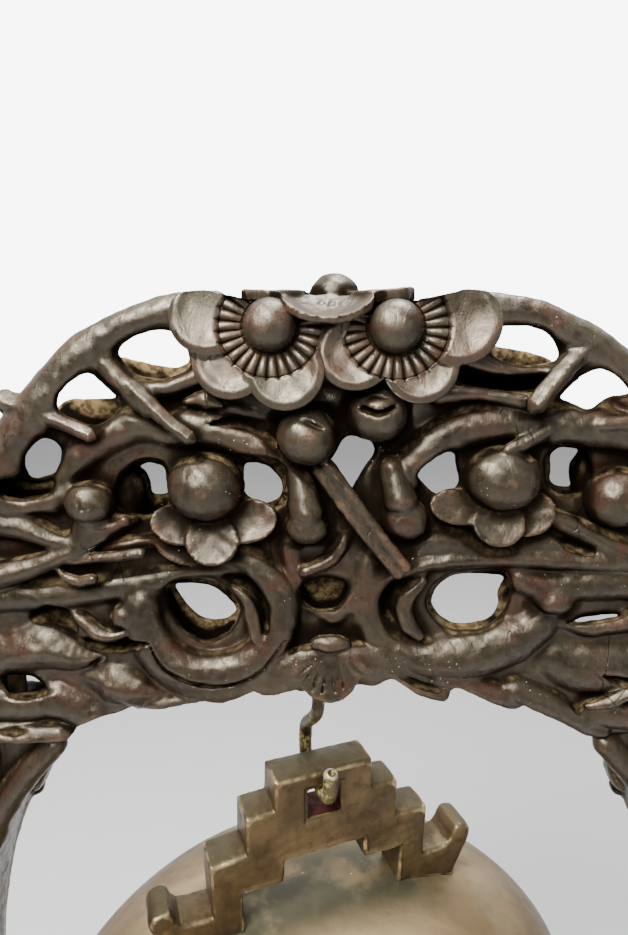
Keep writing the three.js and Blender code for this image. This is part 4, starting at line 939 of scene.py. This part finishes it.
def blossom(name, centre, lean, petals, seed, cap):
    """An open plum blossom: a ball in a hollow, a sunken ring of cut stamens, and petals that overlap in steps."""
    ball_radius, hollow, ring = 6.9, 7.9, 13.3
    stamens = 27
    around = stamens * 16
    angle = np.arange(around) * 2 * math.pi / around
    outline = ray_length(angle, petals)
    tries = np.linspace(0, 32, 321)[:, None]
    room = np.interp(np.abs(tries * np.cos(angle) + centre[0]), [9, 12.5, 14, 24, 33, 38, 41, 44],
                     [cap - 6.4, cap - 4.2, cap - 2.6, cap - 2.1, cap, cap - 0.5, cap - 2.5, cap - 9])
    widest = np.cumprod(tries * np.sin(angle) <= room, 0).sum(0) * 0.1
    outline = np.minimum(outline, widest)
    inner = [5.0, 6.4, 7.2, 7.7, hollow, 8.3, 9, 10, 11, 12, 12.6, 12.95, 13.15, ring, 13.45, 13.7, 14.1]
    outer = [0.08, 0.16, 0.26, 0.36, 0.46, 0.56, 0.66, 0.75, 0.83, 0.9, 0.95, 0.98, 1.0]
    near_cut = np.abs((angle * stamens / (2 * math.pi) + 0.5) % 1 - 0.5) * 2 * math.pi / stamens
    rows = []
    shade = []

    def petal_height(radius):
        x, y = radius * np.cos(angle), radius * np.sin(angle)
        height = np.full(around, -5.0)
        for turn, reach, size, lift in petals:
            t = math.radians(turn)
            u = x * math.cos(t) + y * math.sin(t) - reach
            v = -x * math.sin(t) + y * math.cos(t)
            rho = np.hypot(u, v) / size
            level = lift + 0.03 * v - 1.1 + 2.6 * np.minimum(rho, 0.82)**2 - 10 * np.maximum(rho - 0.8, 0)**1.5
            height = np.maximum(height, np.where(rho < 1.06, level, -5))
        return np.maximum(height, -0.6)

    # lit is read by the wood as openness, so it paints shade here: dark in the hollow round the ball, in the stamen
    # cuts and in the ring groove.
    for radius in inner:
        r = np.full(around, radius)
        height = np.full(around, -1.5)
        dim = np.full(around, 1.0 if radius < hollow else 0.0)
        if radius > hollow - 0.3:
            half_cut = np.interp(radius, [hollow, ring], [0.3, 0.5])
            depth = np.interp(radius, [hollow, 9, ring], [0.5, 1.1, 1.5])
            cut = np.clip(1 - near_cut * radius / half_cut, 0, 1)
            across = near_cut * stamens / math.pi
            height = -0.9 + 0.13 * (radius - hollow) - depth * (1 - across)**3 + 0.5 * math.sin(
                math.pi * min(1, (radius - hollow) / (ring - hollow)))
            dim = np.maximum(dim, cut)
        if 13.2 < radius < 13.4:
            height = np.full(around, -1.9)
            dim = np.ones(around)
        if radius > 13.5:
            share = np.clip((radius - 13.4) / 0.7, 0, 1)
            height = -0.5 * (1 - share) + share * petal_height(r)
        rows.append((np.minimum(r, outline - 0.05), height))
        shade.append((0.99 - 0.3 * dim, np.full(around, 0.5) + 0.16 * (1 - dim)))
    for share in outer:
        r = np.minimum(14.1, outline - 0.04) + np.maximum(outline - 14.1, 0.04) * share
        rows.append((r, petal_height(r)))
        shade.append((np.full(around, 1.0), np.full(around, 0.5 + 0.1 * max(0, share - 0.7) * 3.3)))
    rim_height = rows[-1][1]
    for shrink, drop in ((-0.15, 0.25), (-0.2, 0.7), (0.1, 1.5), (0.9, 2.4), (4, 3.4)):
        rows.append((outline - shrink, rim_height - drop))
        shade.append((np.full(around, 0.9), np.full(around, 0.66 - 0.05 * drop)))
    rows.append((np.full(around, 8.0), np.full(around, -6.0)))
    shade.append((np.full(around, 0.6), np.full(around, 0.5)))
    points = []
    values = []
    for (radius, height), (lit, edge) in zip(rows, shade):
        points.append(np.stack([radius * np.cos(angle), radius * np.sin(angle), height], 1))
        values.append(np.stack([lit, edge], 1))
    faces = ring_faces(len(rows), around)
    # The ball in the middle.
    lat, lon = 25, 48
    faces += ring_faces(lat, lon, len(rows) * around)
    turn = np.arange(lon) * 2 * math.pi / lon
    for i in range(lat):
        polar = math.pi * i / (lat - 1)
        ring_radius = ball_radius * math.sin(polar)
        points.append(np.stack([ring_radius * np.cos(turn), ring_radius * np.sin(turn),
                                np.full(lon, 0.3 + 0.86 * ball_radius * math.cos(polar))], 1))
        # The ball gets painted shade towards its back, where it sinks into the hollow.
        lit = np.clip(0.75 + 0.3 * math.cos(polar), 0, 1)
        values.append(np.tile([lit, 0.5 + 0.12 * max(0, math.cos(polar))], (lon, 1)))
    points = np.concatenate(points)
    points[:, 2] += 0.16 * waves(points, 6, seed)
    right, up, out = (np.array(lean.col[i]) for i in range(3))
    spots = np.array(centre) + points[:, :1] * right + points[:, 1:2] * up + points[:, 2:] * out
    piece = mesh_piece(name, on_seat(spots), np.concatenate(faces), "stand", WOOD, ["crown"])
    normals = np.empty(len(points) * 3, np.float32)
    piece.data.vertex_normals.foreach_get("vector", normals)
    # The upward share is raised so the front-facing petals take the painted top light.
    paint(piece.data, np.column_stack([np.concatenate(values), 0.74 + 0.35 * normals[2::3], np.zeros(len(points))]))


def facing(tilt, swing):
    """Right, up and outward directions of something that faces the front, tilted back and swung to one side."""
    lean = Matrix.Rotation(math.radians(swing), 3, "Z") @ Matrix.Rotation(math.radians(-tilt), 3, "X")
    right = lean @ Vector((1, 0, 0))
    up = lean @ Vector((0, 0, 1))
    out = lean @ Vector((0, -1, 0))
    return Matrix((right, up, out)).transposed()


# The posts.
POST_OPENING = 126.0
POST_WIDTH = 22.0
POST_DEPTH = 34.0
POST_HEIGHT = SEAT - BOARD_TOP
SEAT_INNER = 80.0
SEAT_OUTER = 127.0


def post_outline():
    outer = POST_OPENING + POST_WIDTH
    top = POST_HEIGHT - FIT
    inner_side = [(POST_OPENING, -8), (POST_OPENING + 1, POST_HEIGHT * 0.28), (POST_OPENING - 1, POST_HEIGHT * 0.5),
                  (POST_OPENING - 6, top - 84), (POST_OPENING - 16, top - 48), (SEAT_INNER + 16, top - 20),
                  (SEAT_INNER - 6, top + 7)]
    outer_side = [(SEAT_OUTER - 2, top + 7), (SEAT_OUTER + 9, top - 40), (outer - 2, top - 92),
                  (outer + 1, POST_HEIGHT * 0.45), (outer - 1, POST_HEIGHT * 0.2), (outer, -8)]
    sides = [smooth_path(side, [1], 6)[0] for side in (inner_side, outer_side)]
    return [tuple(point) for side in sides for point in side]


def post(name, side, seed):
    """A post carved as a plum trunk: twisted limbs, knots, buds and leaves over a plain core."""
    clay = Clay((70, -27, -1), (156, 27, POST_HEIGHT + 2), POST_STEP)
    cut, x, y, z = clay.window((60, -30, -10), (170, 30, POST_HEIGHT + 10))
    flat = outline_distance(x[:, 0], z[:, 0], post_outline())[:, None, :]
    clay.field[cut] = rounded_plate(flat, y, POST_DEPTH / 2 - 1.5, 5)
    middle = POST_OPENING + POST_WIDTH / 2
    top = POST_HEIGHT - FIT
    limb = clay.limb
    rng = np.random.default_rng(seed)
    for face in (-1, 1):
        depth = face * (POST_DEPTH / 2 - 0.5)
        limb([(middle + 5, 4), (middle - 2, 60), (middle + 3, 115), (middle - 6, top - 90), (middle - 18, top - 50),
              (SEAT_OUTER - 20, top - 6)], [7.5, 7, 6.5, 6, 5.5, 5], depth, ridge=1.6)
        limb([(middle - 6, 4), (middle + 4, 55), (middle - 5, 99), (middle + 2, 150), (middle - 3, top - 66),
              (SEAT_OUTER - 6, top - 8)], [6, 5.4, 5, 5, 4.6, 4.4], depth, ridge=1.6)
        limb([(middle - 9, 20), (middle - 7, 75), (middle - 10, 120), (middle - 8, 165), (middle - 18, top - 60),
              (SEAT_INNER + 20, top - 22), (SEAT_INNER + 4, top - 3)], [3.5, 3.6, 3.8, 4, 4.4, 4.6, 4], depth,
             ridge=1.6)
        for x, z, radius in ((middle + 2, 164, 7.5), (middle - 1, 82, 6.5), (SEAT_INNER + 28, top - 36, 7.5),
                             (middle - 4, 122, 5.5), (middle + 6, 40, 5)):
            clay.ball(x + rng.uniform(-1, 1), z + rng.uniform(-2, 2), radius, depth, blend=0.8)
            limb([(x - radius, z - radius), (x, z - radius - 2), (x + radius, z - radius + 2)],
                 [1.5, 3.2, 1.5], depth + face * 2.5, ridge=1.4, blend=0.8)
        for z in (28, 68, 106, 142, 186):
            x = middle + rng.uniform(-3, 3)
            limb([(x - 7, z - 8), (x - 1, z), (x + 7, z + 7)], [0.4, 1.6, 0.5], depth + face * 5, flat=2.5,
                 blend=0.6, away=True)
    cut, x, y, z = clay.window((60, -30, -10), (170, 30, POST_HEIGHT + 10))
    clay.blend_in(cut, 3.2 - flat, 2, True)
    cut, x, y, z = clay.window((60, -30, -10), (170, 30, 1))
    clay.blend_in(cut, z - FIT, 0, True)
    cut, x, y, z = clay.window((60, -30, top - 2), (170, 30, top + 10))
    clay.blend_in(cut, top - z, 0, True)
    cut, x, y, z = clay.window((79, 0, top - 14), (100, 30, top + 10))
    clay.blend_in(cut, np.maximum(np.abs(x - 88) - 9.5, top + 0.5 - 0.58 * (y - 3.5) - z), 1, True)

    def on_board(points):
        return points * (side, 1, 1) + (0, 0, BOARD_TOP)

    carved_piece(name + "_carving", clay, on_board, WOOD, [name], seed)


# The bell, drawn about its own axis with the mouth at height 0.
MOUTH = 98.0
BODY_HEIGHT = 170.0
DOME_HEIGHT = 58.4
SHOULDER_LENGTH = 97.5
SHOULDER_WIDTH = 78.3
FULLNESS = 2.15
LIP_FLARE = 2.5
LIP_HEIGHT = 9.0
WALL = 5
CREST_HEIGHT = 49.0
# The crest's eye: the bar over it, and its half height and half width.
LINTEL = 5.6
EYE_RISE = 5.25
EYE_REACH = 5.75
CREST_HALF = 6.75
# The radius of the hook's rod in the eye.
ROD = 2.25


def hang(points, base=0.0):
    """From the hook's own frame to the scene's."""
    c, s = math.cos(BELL_TURN), math.sin(BELL_TURN)
    x, y, z = np.asarray(points, float).T
    return np.stack([c * x - s * y + HOOK_X, s * x + c * y, z + base], 1)


def bell_radius(height, inset):
    """The bell's longer half width at a height; inset is how far inside the outer face."""
    shoulder = BODY_HEIGHT - DOME_HEIGHT
    reach = SHOULDER_LENGTH - inset
    flare = np.maximum(0, 1 - height / (3 * LIP_HEIGHT))
    share = np.clip((height - shoulder) / (DOME_HEIGHT - inset), 0, 1)
    return np.where(height <= shoulder, reach + LIP_FLARE * flare**2, reach * (1 - share**FULLNESS)**(1 / FULLNESS))


def bell_shell():
    """The bell's dome, body and flared lip, open below."""
    shoulder = BODY_HEIGHT - DOME_HEIGHT
    around = 360
    climb = np.linspace(0, math.pi / 2, 70)
    rows = []
    straight = np.linspace(3, shoulder, 90)
    band = sum(0.7 * np.exp(-((straight - z) / 1.1)**2) for z in (20, 24.5, 92, 96.5))
    for z, extra in ((0.0, -4.2), (0.1, -2.6), (0.7, -1.0), (1.7, -0.25)):
        rows.append((float(bell_radius(z, 0)) + extra, z, 0))
    rows += [(r + b, z, 0) for r, z, b in zip(bell_radius(straight, 0), straight, band)]
    for t in climb[1:]:
        z = shoulder + DOME_HEIGHT * math.sin(t)
        rows.append((float(bell_radius(z, 0)), z, 0))
    for t in climb[::-4]:
        z = shoulder + (DOME_HEIGHT - WALL) * math.sin(t)
        rows.append((float(bell_radius(z, WALL)), z, WALL))
    for z, inset in ((70, WALL), (30, WALL), (15, WALL), (10, 5.4), (8, 6.6), (2, 7), (0.6, 6.4)):
        rows.append((float(bell_radius(z, inset)), z, inset))
    angle = np.arange(around) * 2 * math.pi / around
    points = []
    for radius, z, inset in rows:
        squash = (SHOULDER_WIDTH - inset) / (SHOULDER_LENGTH - inset)
        points.append(np.stack([radius * np.cos(angle), radius * squash * np.sin(angle), np.full(around, z)], 1))
    points = np.concatenate(points)
    outward = points * (1, 1, 0)
    outward /= np.maximum(np.linalg.norm(outward, axis=1, keepdims=True), 1)
    points = points + outward * (0.25 * waves(points, 50, 41) + 0.06 * waves(points, 9, 42))[:, None]
    # The last ring joins the first, so the wall is closed.
    faces = np.concatenate(ring_faces(len(rows) + 1, around))[:, [0, 3, 2, 1]] % len(points)
    piece = mesh_piece("bell_skin", hang(points, MOUTH), faces, "bell", BRONZE, ["bell_shell"])
    # near marks the dome round the crest's feet and under its arch, and low grows towards the shoulder; the bronze
    # uses both for patina laid as painted shade.
    across = np.hypot(np.maximum(np.abs(points[:, 0]) - 34, 0) / 16, np.maximum(np.abs(points[:, 1]) - 6, 0) / 14)
    near = np.clip(1.25 - across, 0, 1) * (points[:, 2] > BODY_HEIGHT - 25)
    low = np.clip((BODY_HEIGHT - 4 - points[:, 2]) / 22, 0, 1)
    paint(piece.data, np.stack([near, low, near, near], 1))


def crest_outline():
    """The crest's outline with its top at 0, right half first."""
    tread_half, tread_drop = [17, 27, 39], [10, 23.5, 43]
    horn_top, horn_inner, horn_reach = 6.5 - 43, 51.5, 58.0
    right = [(17, 0), (17.5, -tread_drop[0]), (27, -tread_drop[0] - 0.6), (27, -tread_drop[1]),
             (tread_half[2], -tread_drop[1] - 1), (tread_half[2] - 0.7, -43), (horn_inner - 7, -43),
             (horn_inner - 3.2, -42.2), (horn_inner - 1.2, -40), (horn_inner - 0.6, -38.4), (52, horn_top + 0.2),
             (54.4, horn_top + 0.4), (56.8, horn_top - 0.3), (horn_reach, horn_top - 2.4), (57, -43), (54.6, -48),
             (51.6, -54), (51, -68), (27, -68), (28.6, -37), (14.6, -36.7), (14, -29)]
    return right + [(-x, z) for x, z in right[::-1]]


def domed(points, top):
    """Raises the crest's treads a little along their middles."""
    points = points.copy()
    level = top - points[:, 2]
    tread = (np.abs(level) < 1.2) | (np.abs(level - 10) < 1.2) | (np.abs(level - 24) < 1.3) | (np.abs(level - 43) < 1)
    points[:, 2] += tread * 0.8 * np.clip(1 - (points[:, 1] / 6.4)**2, 0, 1)
    return points


def bell_crest():
    """The stepped crest, with worn edges, slightly domed treads, a framed eye and thin ribs round its arch."""
    top = BODY_HEIGHT + CREST_HEIGHT
    clay = Clay((-62, -9, BODY_HEIGHT - 26), (62, 9, top + 2.5), CREST_STEP)
    cut, x, y, z = clay.window((-70, -20, 100), (70, 20, 300))
    flat = outline_distance(x[:, 0], (z - top)[:, 0], crest_outline())[:, None, :]
    border = np.clip(flat + 1.9, 0, 0.5) * (np.abs(x) < 29.5) * (z - top < -27)
    clay.field[cut] = rounded_plate(flat, y, CREST_HALF + border, 1.3)
    for side in (-1, 1):
        clay.limb([(side * 54.4, -3.4, top - 40.2), (side * 54.4, 3.4, top - 40.2)], [3.9], blend=1.2)
    eye_z = top - LINTEL - EYE_RISE
    clay.blend_in(cut, np.maximum(np.abs(x) - EYE_REACH, np.abs(z - eye_z) - EYE_RISE), 0.6, True)
    rebate = np.maximum(np.maximum(np.abs(x) - 7.1, np.abs(z - eye_z) - 6.6), 6.1 - np.abs(y))
    clay.blend_in(cut, rebate, 0.4, True)
    radius = np.sqrt((x / SHOULDER_LENGTH)**2 + (y / SHOULDER_WIDTH)**2)
    dome = BODY_HEIGHT - DOME_HEIGHT + DOME_HEIGHT * (1 - np.minimum(radius, 1)**FULLNESS)**(1 / FULLNESS)
    clay.blend_in(cut, z - dome - 0.1, 0, True)

    # The eye's inside, which the crest's bronze paints dark red as painted shade.
    def in_eye(points):
        return (np.abs(points - (0, 0, eye_z)) < (6.3, 5.6, 5.8)).all(1)

    def on_bell(points):
        return hang(domed(points, top), MOUTH)

    carved_piece("crest_casting", clay, on_bell, CREST, ["bell_crest"], 51, body="bell",
                 unevenness=0.8, inside=in_eye)


def hook():
    """The hook, bent from a rod: out of the crown, back over the crest, down and forward through the eye."""
    pivot = MOUTH + BODY_HEIGHT + CREST_HEIGHT - LINTEL - FIT - ROD
    clay = Clay((-5, -15, 300), (5, 18, SEAT + 30), ROD_STEP)
    clay.limb([(0, 0, SEAT + 27), (0, 0, SEAT + 10), (0, 0, 345), (0, 0.2, 336.5), (0, 2.5, 332.4), (0, 7, 328),
               (0, 11.4, 324), (0, 12.6, 319), (0, 12.6, pivot + 4.6), (0, 11.2, pivot + 1.2), (0, 8, pivot),
               (0, 0, pivot), (0, -6.6, pivot), (0, -9.8, pivot + 1.2), (0, -11.0, pivot + 4.2),
               (0, -11.2, pivot + 9.8)],
              [2.2] * 6 + [ROD] * 4 + [2.2] * 4 + [2.5] * 2)
    clay.ball(0, pivot + 12.4, (2, 2, 1.2), -13.2, blend=0.5, away=True)
    carved_piece("hook_rod", clay, hang, BRASS, ["hook"], 61, body="hook", unevenness=0.6)


def base_wood(name, dark, light, gloss, along):
    """Close-grained wood: streaks along the grain, pores, rubbed edges, and dust where it faces up."""
    n = Nodes(name)
    _, edge, up, _ = n.attribute("carve")
    streak = [0.16 if axis == along else 1.0 for axis in range(3)]
    figure = n.noise(70, detail=6, stretch=streak, distortion=1.1)
    grain = n.noise(420, detail=5, stretch=[0.3 * s for s in streak])
    pores = n.ramp(n.noise(1500, detail=3, stretch=[0.5 * s for s in streak]), 0.6, 0.72)
    broad = n.noise(12, detail=5)
    n.colour = n.mix(n.ramp(figure, 0.34, 0.66), dark, light)
    n.coat(n.ramp(grain, 0.4, 0.7), 0.45, [0.55 * c for c in dark])
    n.coat(n.ramp(broad, 0.42, 0.7), 0.4, [0.5 * (c + 0.02) for c in dark])
    n.coat(pores, 0.6, (0.006, 0.004, 0.003))
    worn = n.times(edge, n.patches(90, 5, 0.4, 0.62))
    n.coat(worn, 0.7, [min(1, 2.2 * c + 0.02) for c in light])
    dust = n.times(n.ramp(up, 0.8, 1.0), n.patches(40, 6, 0.42, 0.7))
    n.coat(dust, 0.06, (0.20, 0.15, 0.095))
    roughness = n.math("ADD", n.ramp(n.noise(130, detail=5), 0.3, 0.7, gloss, gloss + 0.16),
                       n.times(dust, 0.12))
    n.bump(figure, 0.35, 0.5)
    n.bump(n.noise(26, detail=3), 0.25, 0.5)
    n.bump(grain, 0.2, 0.6)
    n.bump(n.math("SUBTRACT", 1.0, pores), 0.12, 0.6)
    return n.finish(roughness)


def softened(node, material, width):
    """A CAD piece again with its edges rounded over, as planed by hand, and its faces cut into triangles."""
    solid = bmesh.new()
    solid.from_mesh(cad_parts[node].data)
    bmesh.ops.remove_doubles(solid, verts=solid.verts, dist=2e-6)
    bmesh.ops.dissolve_limit(solid, angle_limit=math.radians(1), verts=solid.verts, edges=solid.edges)
    sharp = [e for e in solid.edges if len(e.link_faces) == 2 and e.calc_face_angle(0) > math.radians(25)]
    bmesh.ops.bevel(solid, geom=sharp, offset=width * MM, offset_type="OFFSET", segments=3, profile=0.5,
                    affect="EDGES", clamp_overlap=True)
    bmesh.ops.triangulate(solid, faces=solid.faces)
    mesh = bpy.data.meshes.new(node + "_soft")
    solid.to_mesh(mesh)
    solid.free()
    mesh.materials.append(material)
    normals = np.array([p.normal for p in mesh.polygons])
    areas = np.array([p.area for p in mesh.polygons])
    tilted = np.sort(np.abs(normals), 1)[:, -1] < 0.995
    values = np.zeros((len(mesh.loops), 4), np.float32)
    for i, polygon in enumerate(mesh.polygons):
        values[polygon.loop_start:polygon.loop_start + 3] = (1, float(tilted[i] and areas[i] < 4e-5),
                                                             0.5 + 0.5 * normals[i, 2], 0)
        polygon.use_smooth = False
    paint(mesh, values, "CORNER")
    piece = add_object(node + "_soft", mesh)
    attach(piece, "stand")
    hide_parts(node)


WOOD = carved_wood()
BRONZE = dome_bronze()
CREST = crest_bronze()
BRASS = hook_brass()
crown()
post("left_post", -1, 21)
post("right_post", 1, 22)
bell_shell()
bell_crest()
hook()
blossom("left_blossom", (-16.3, -25.2, 121.6), facing(11, -3),
        [(171, 16.0, 10.2, 1.3), (221, 13.2, 10.2, -0.3), (289, 12.4, 10.0, 0.9), (10, 12.0, 8.6, -0.8),
         (88, 10.5, 10.0, 0)], 31, cap=8.7)
blossom("right_blossom", (15.9, -26.2, 121.2), facing(11, -3),
        [(4, 15.6, 10.8, 1.3), (303, 11.6, 9.6, -0.3), (212, 12.2, 9.8, 1.0), (150, 11, 8.4, -0.6),
         (80, 10.5, 10.0, 0)], 32, cap=8.9)

POLISHED = [base_wood(f"polished_wood_{axis}", (0.016, 0.0085, 0.0055), (0.058, 0.028, 0.016), 0.36, i)
            for i, axis in enumerate("xyz")]
BARE = base_wood("bare_wood", (0.13, 0.082, 0.045), (0.30, 0.205, 0.12), 0.5, 2)
for node, along in (("base_board", 0), ("base_waist", 0), ("front_apron", 0), ("back_apron", 0), ("left_apron", 1),
                    ("right_apron", 1), ("front_left_foot", 2), ("front_right_foot", 2), ("back_left_foot", 2),
                    ("back_right_foot", 2)):
    softened(node, POLISHED[along], 0.7)
for node in ("left_crown_peg", "right_crown_peg", "left_tenon_wedge", "right_tenon_wedge"):
    softened(node, BARE, 0.3)

# Camera, light and floor.
CAMERA_DOWN = 11.27
FOCAL_PIXELS = 640
PHOTO_HEIGHT = 935
SENSOR = 36

camera_data = bpy.data.cameras.new("camera")
camera_data.sensor_fit = "VERTICAL"
camera_data.sensor_height = SENSOR
camera_data.lens = SENSOR * FOCAL_PIXELS / PHOTO_HEIGHT
camera_data.clip_start = 0.01
camera = add_object("camera", camera_data)
camera.location = Vector((EYE[0], EYE[1], EYE[2] + SEAT)) * MM
camera.rotation_euler = Euler((math.radians(90 - CAMERA_DOWN), 0, 0))
bpy.context.scene.camera = camera


def area_light(name, at, aim, size, power, colour=(1, 1, 1)):
    data = bpy.data.lights.new(name, "AREA")
    data.shape = "RECTANGLE"
    data.size, data.size_y = size
    data.energy = power
    data.color = colour
    light = add_object(name, data)
    light.location = at
    light.rotation_euler = (Vector(aim) - Vector(at)).to_track_quat("-Z", "Y").to_euler()


middle = (0, 0, 0.4)
area_light("key", (-0.3, -0.42, 1.05), middle, (0.28, 0.28), 19, (1, 0.97, 0.92))
area_light("front", (-0.14, -0.40, 0.70), (0, 0, 0.46), (0.36, 0.24), 4.4, (1, 0.97, 0.92))
area_light("fill", (0.9, -0.9, 0.6), middle, (0.8, 0.8), 3)
area_light("top", (0.15, 0.1, 1.3), middle, (0.5, 0.5), 20)

# A white backdrop on every side, and softer light from the surroundings: brighter behind the stand and above it.
world = bpy.data.worlds.new("world")
bpy.context.scene.world = world
world.use_nodes = True
sky = world.node_tree
way = sky.nodes.new("ShaderNodeTexCoord").outputs["Generated"]
parts = sky.nodes.new("ShaderNodeSeparateXYZ")
sky.links.new(way, parts.inputs["Vector"])
glow = sky.nodes.new("ShaderNodeMapRange")
glow.interpolation_type = "SMOOTHSTEP"
for key, number in (("From Min", -0.3), ("From Max", 0.6), ("To Min", 0.13), ("To Max", 1.3)):
    glow.inputs[key].default_value = number
sky.links.new(parts.outputs["Y"], glow.inputs["Value"])
backdrop = sky.nodes.new("ShaderNodeMix")
backdrop.data_type = "FLOAT"
sky.links.new(sky.nodes.new("ShaderNodeLightPath").outputs["Is Camera Ray"], backdrop.inputs["Factor"])
sky.links.new(glow.outputs["Result"], backdrop.inputs["A"])
backdrop.inputs["B"].default_value = 8.0
sky.links.new(backdrop.outputs["Result"], sky.nodes["Background"].inputs["Strength"])
sky.nodes["Background"].inputs["Color"].default_value = (0.97, 0.975, 1, 1)

floor_mesh = bpy.data.meshes.new("floor")
floor_mesh.from_pydata([(-3, -3, 0), (3, -3, 0), (3, 3, 0), (-3, 3, 0)], [], [(0, 1, 2, 3)])
floor = add_object("floor", floor_mesh)
floor_material, _, _, floor_shader = new_material("floor")
floor_shader.inputs["Base Color"].default_value = (0.55, 0.55, 0.555, 1)
floor_shader.inputs["Roughness"].default_value = 0.9
floor_mesh.materials.append(floor_material)
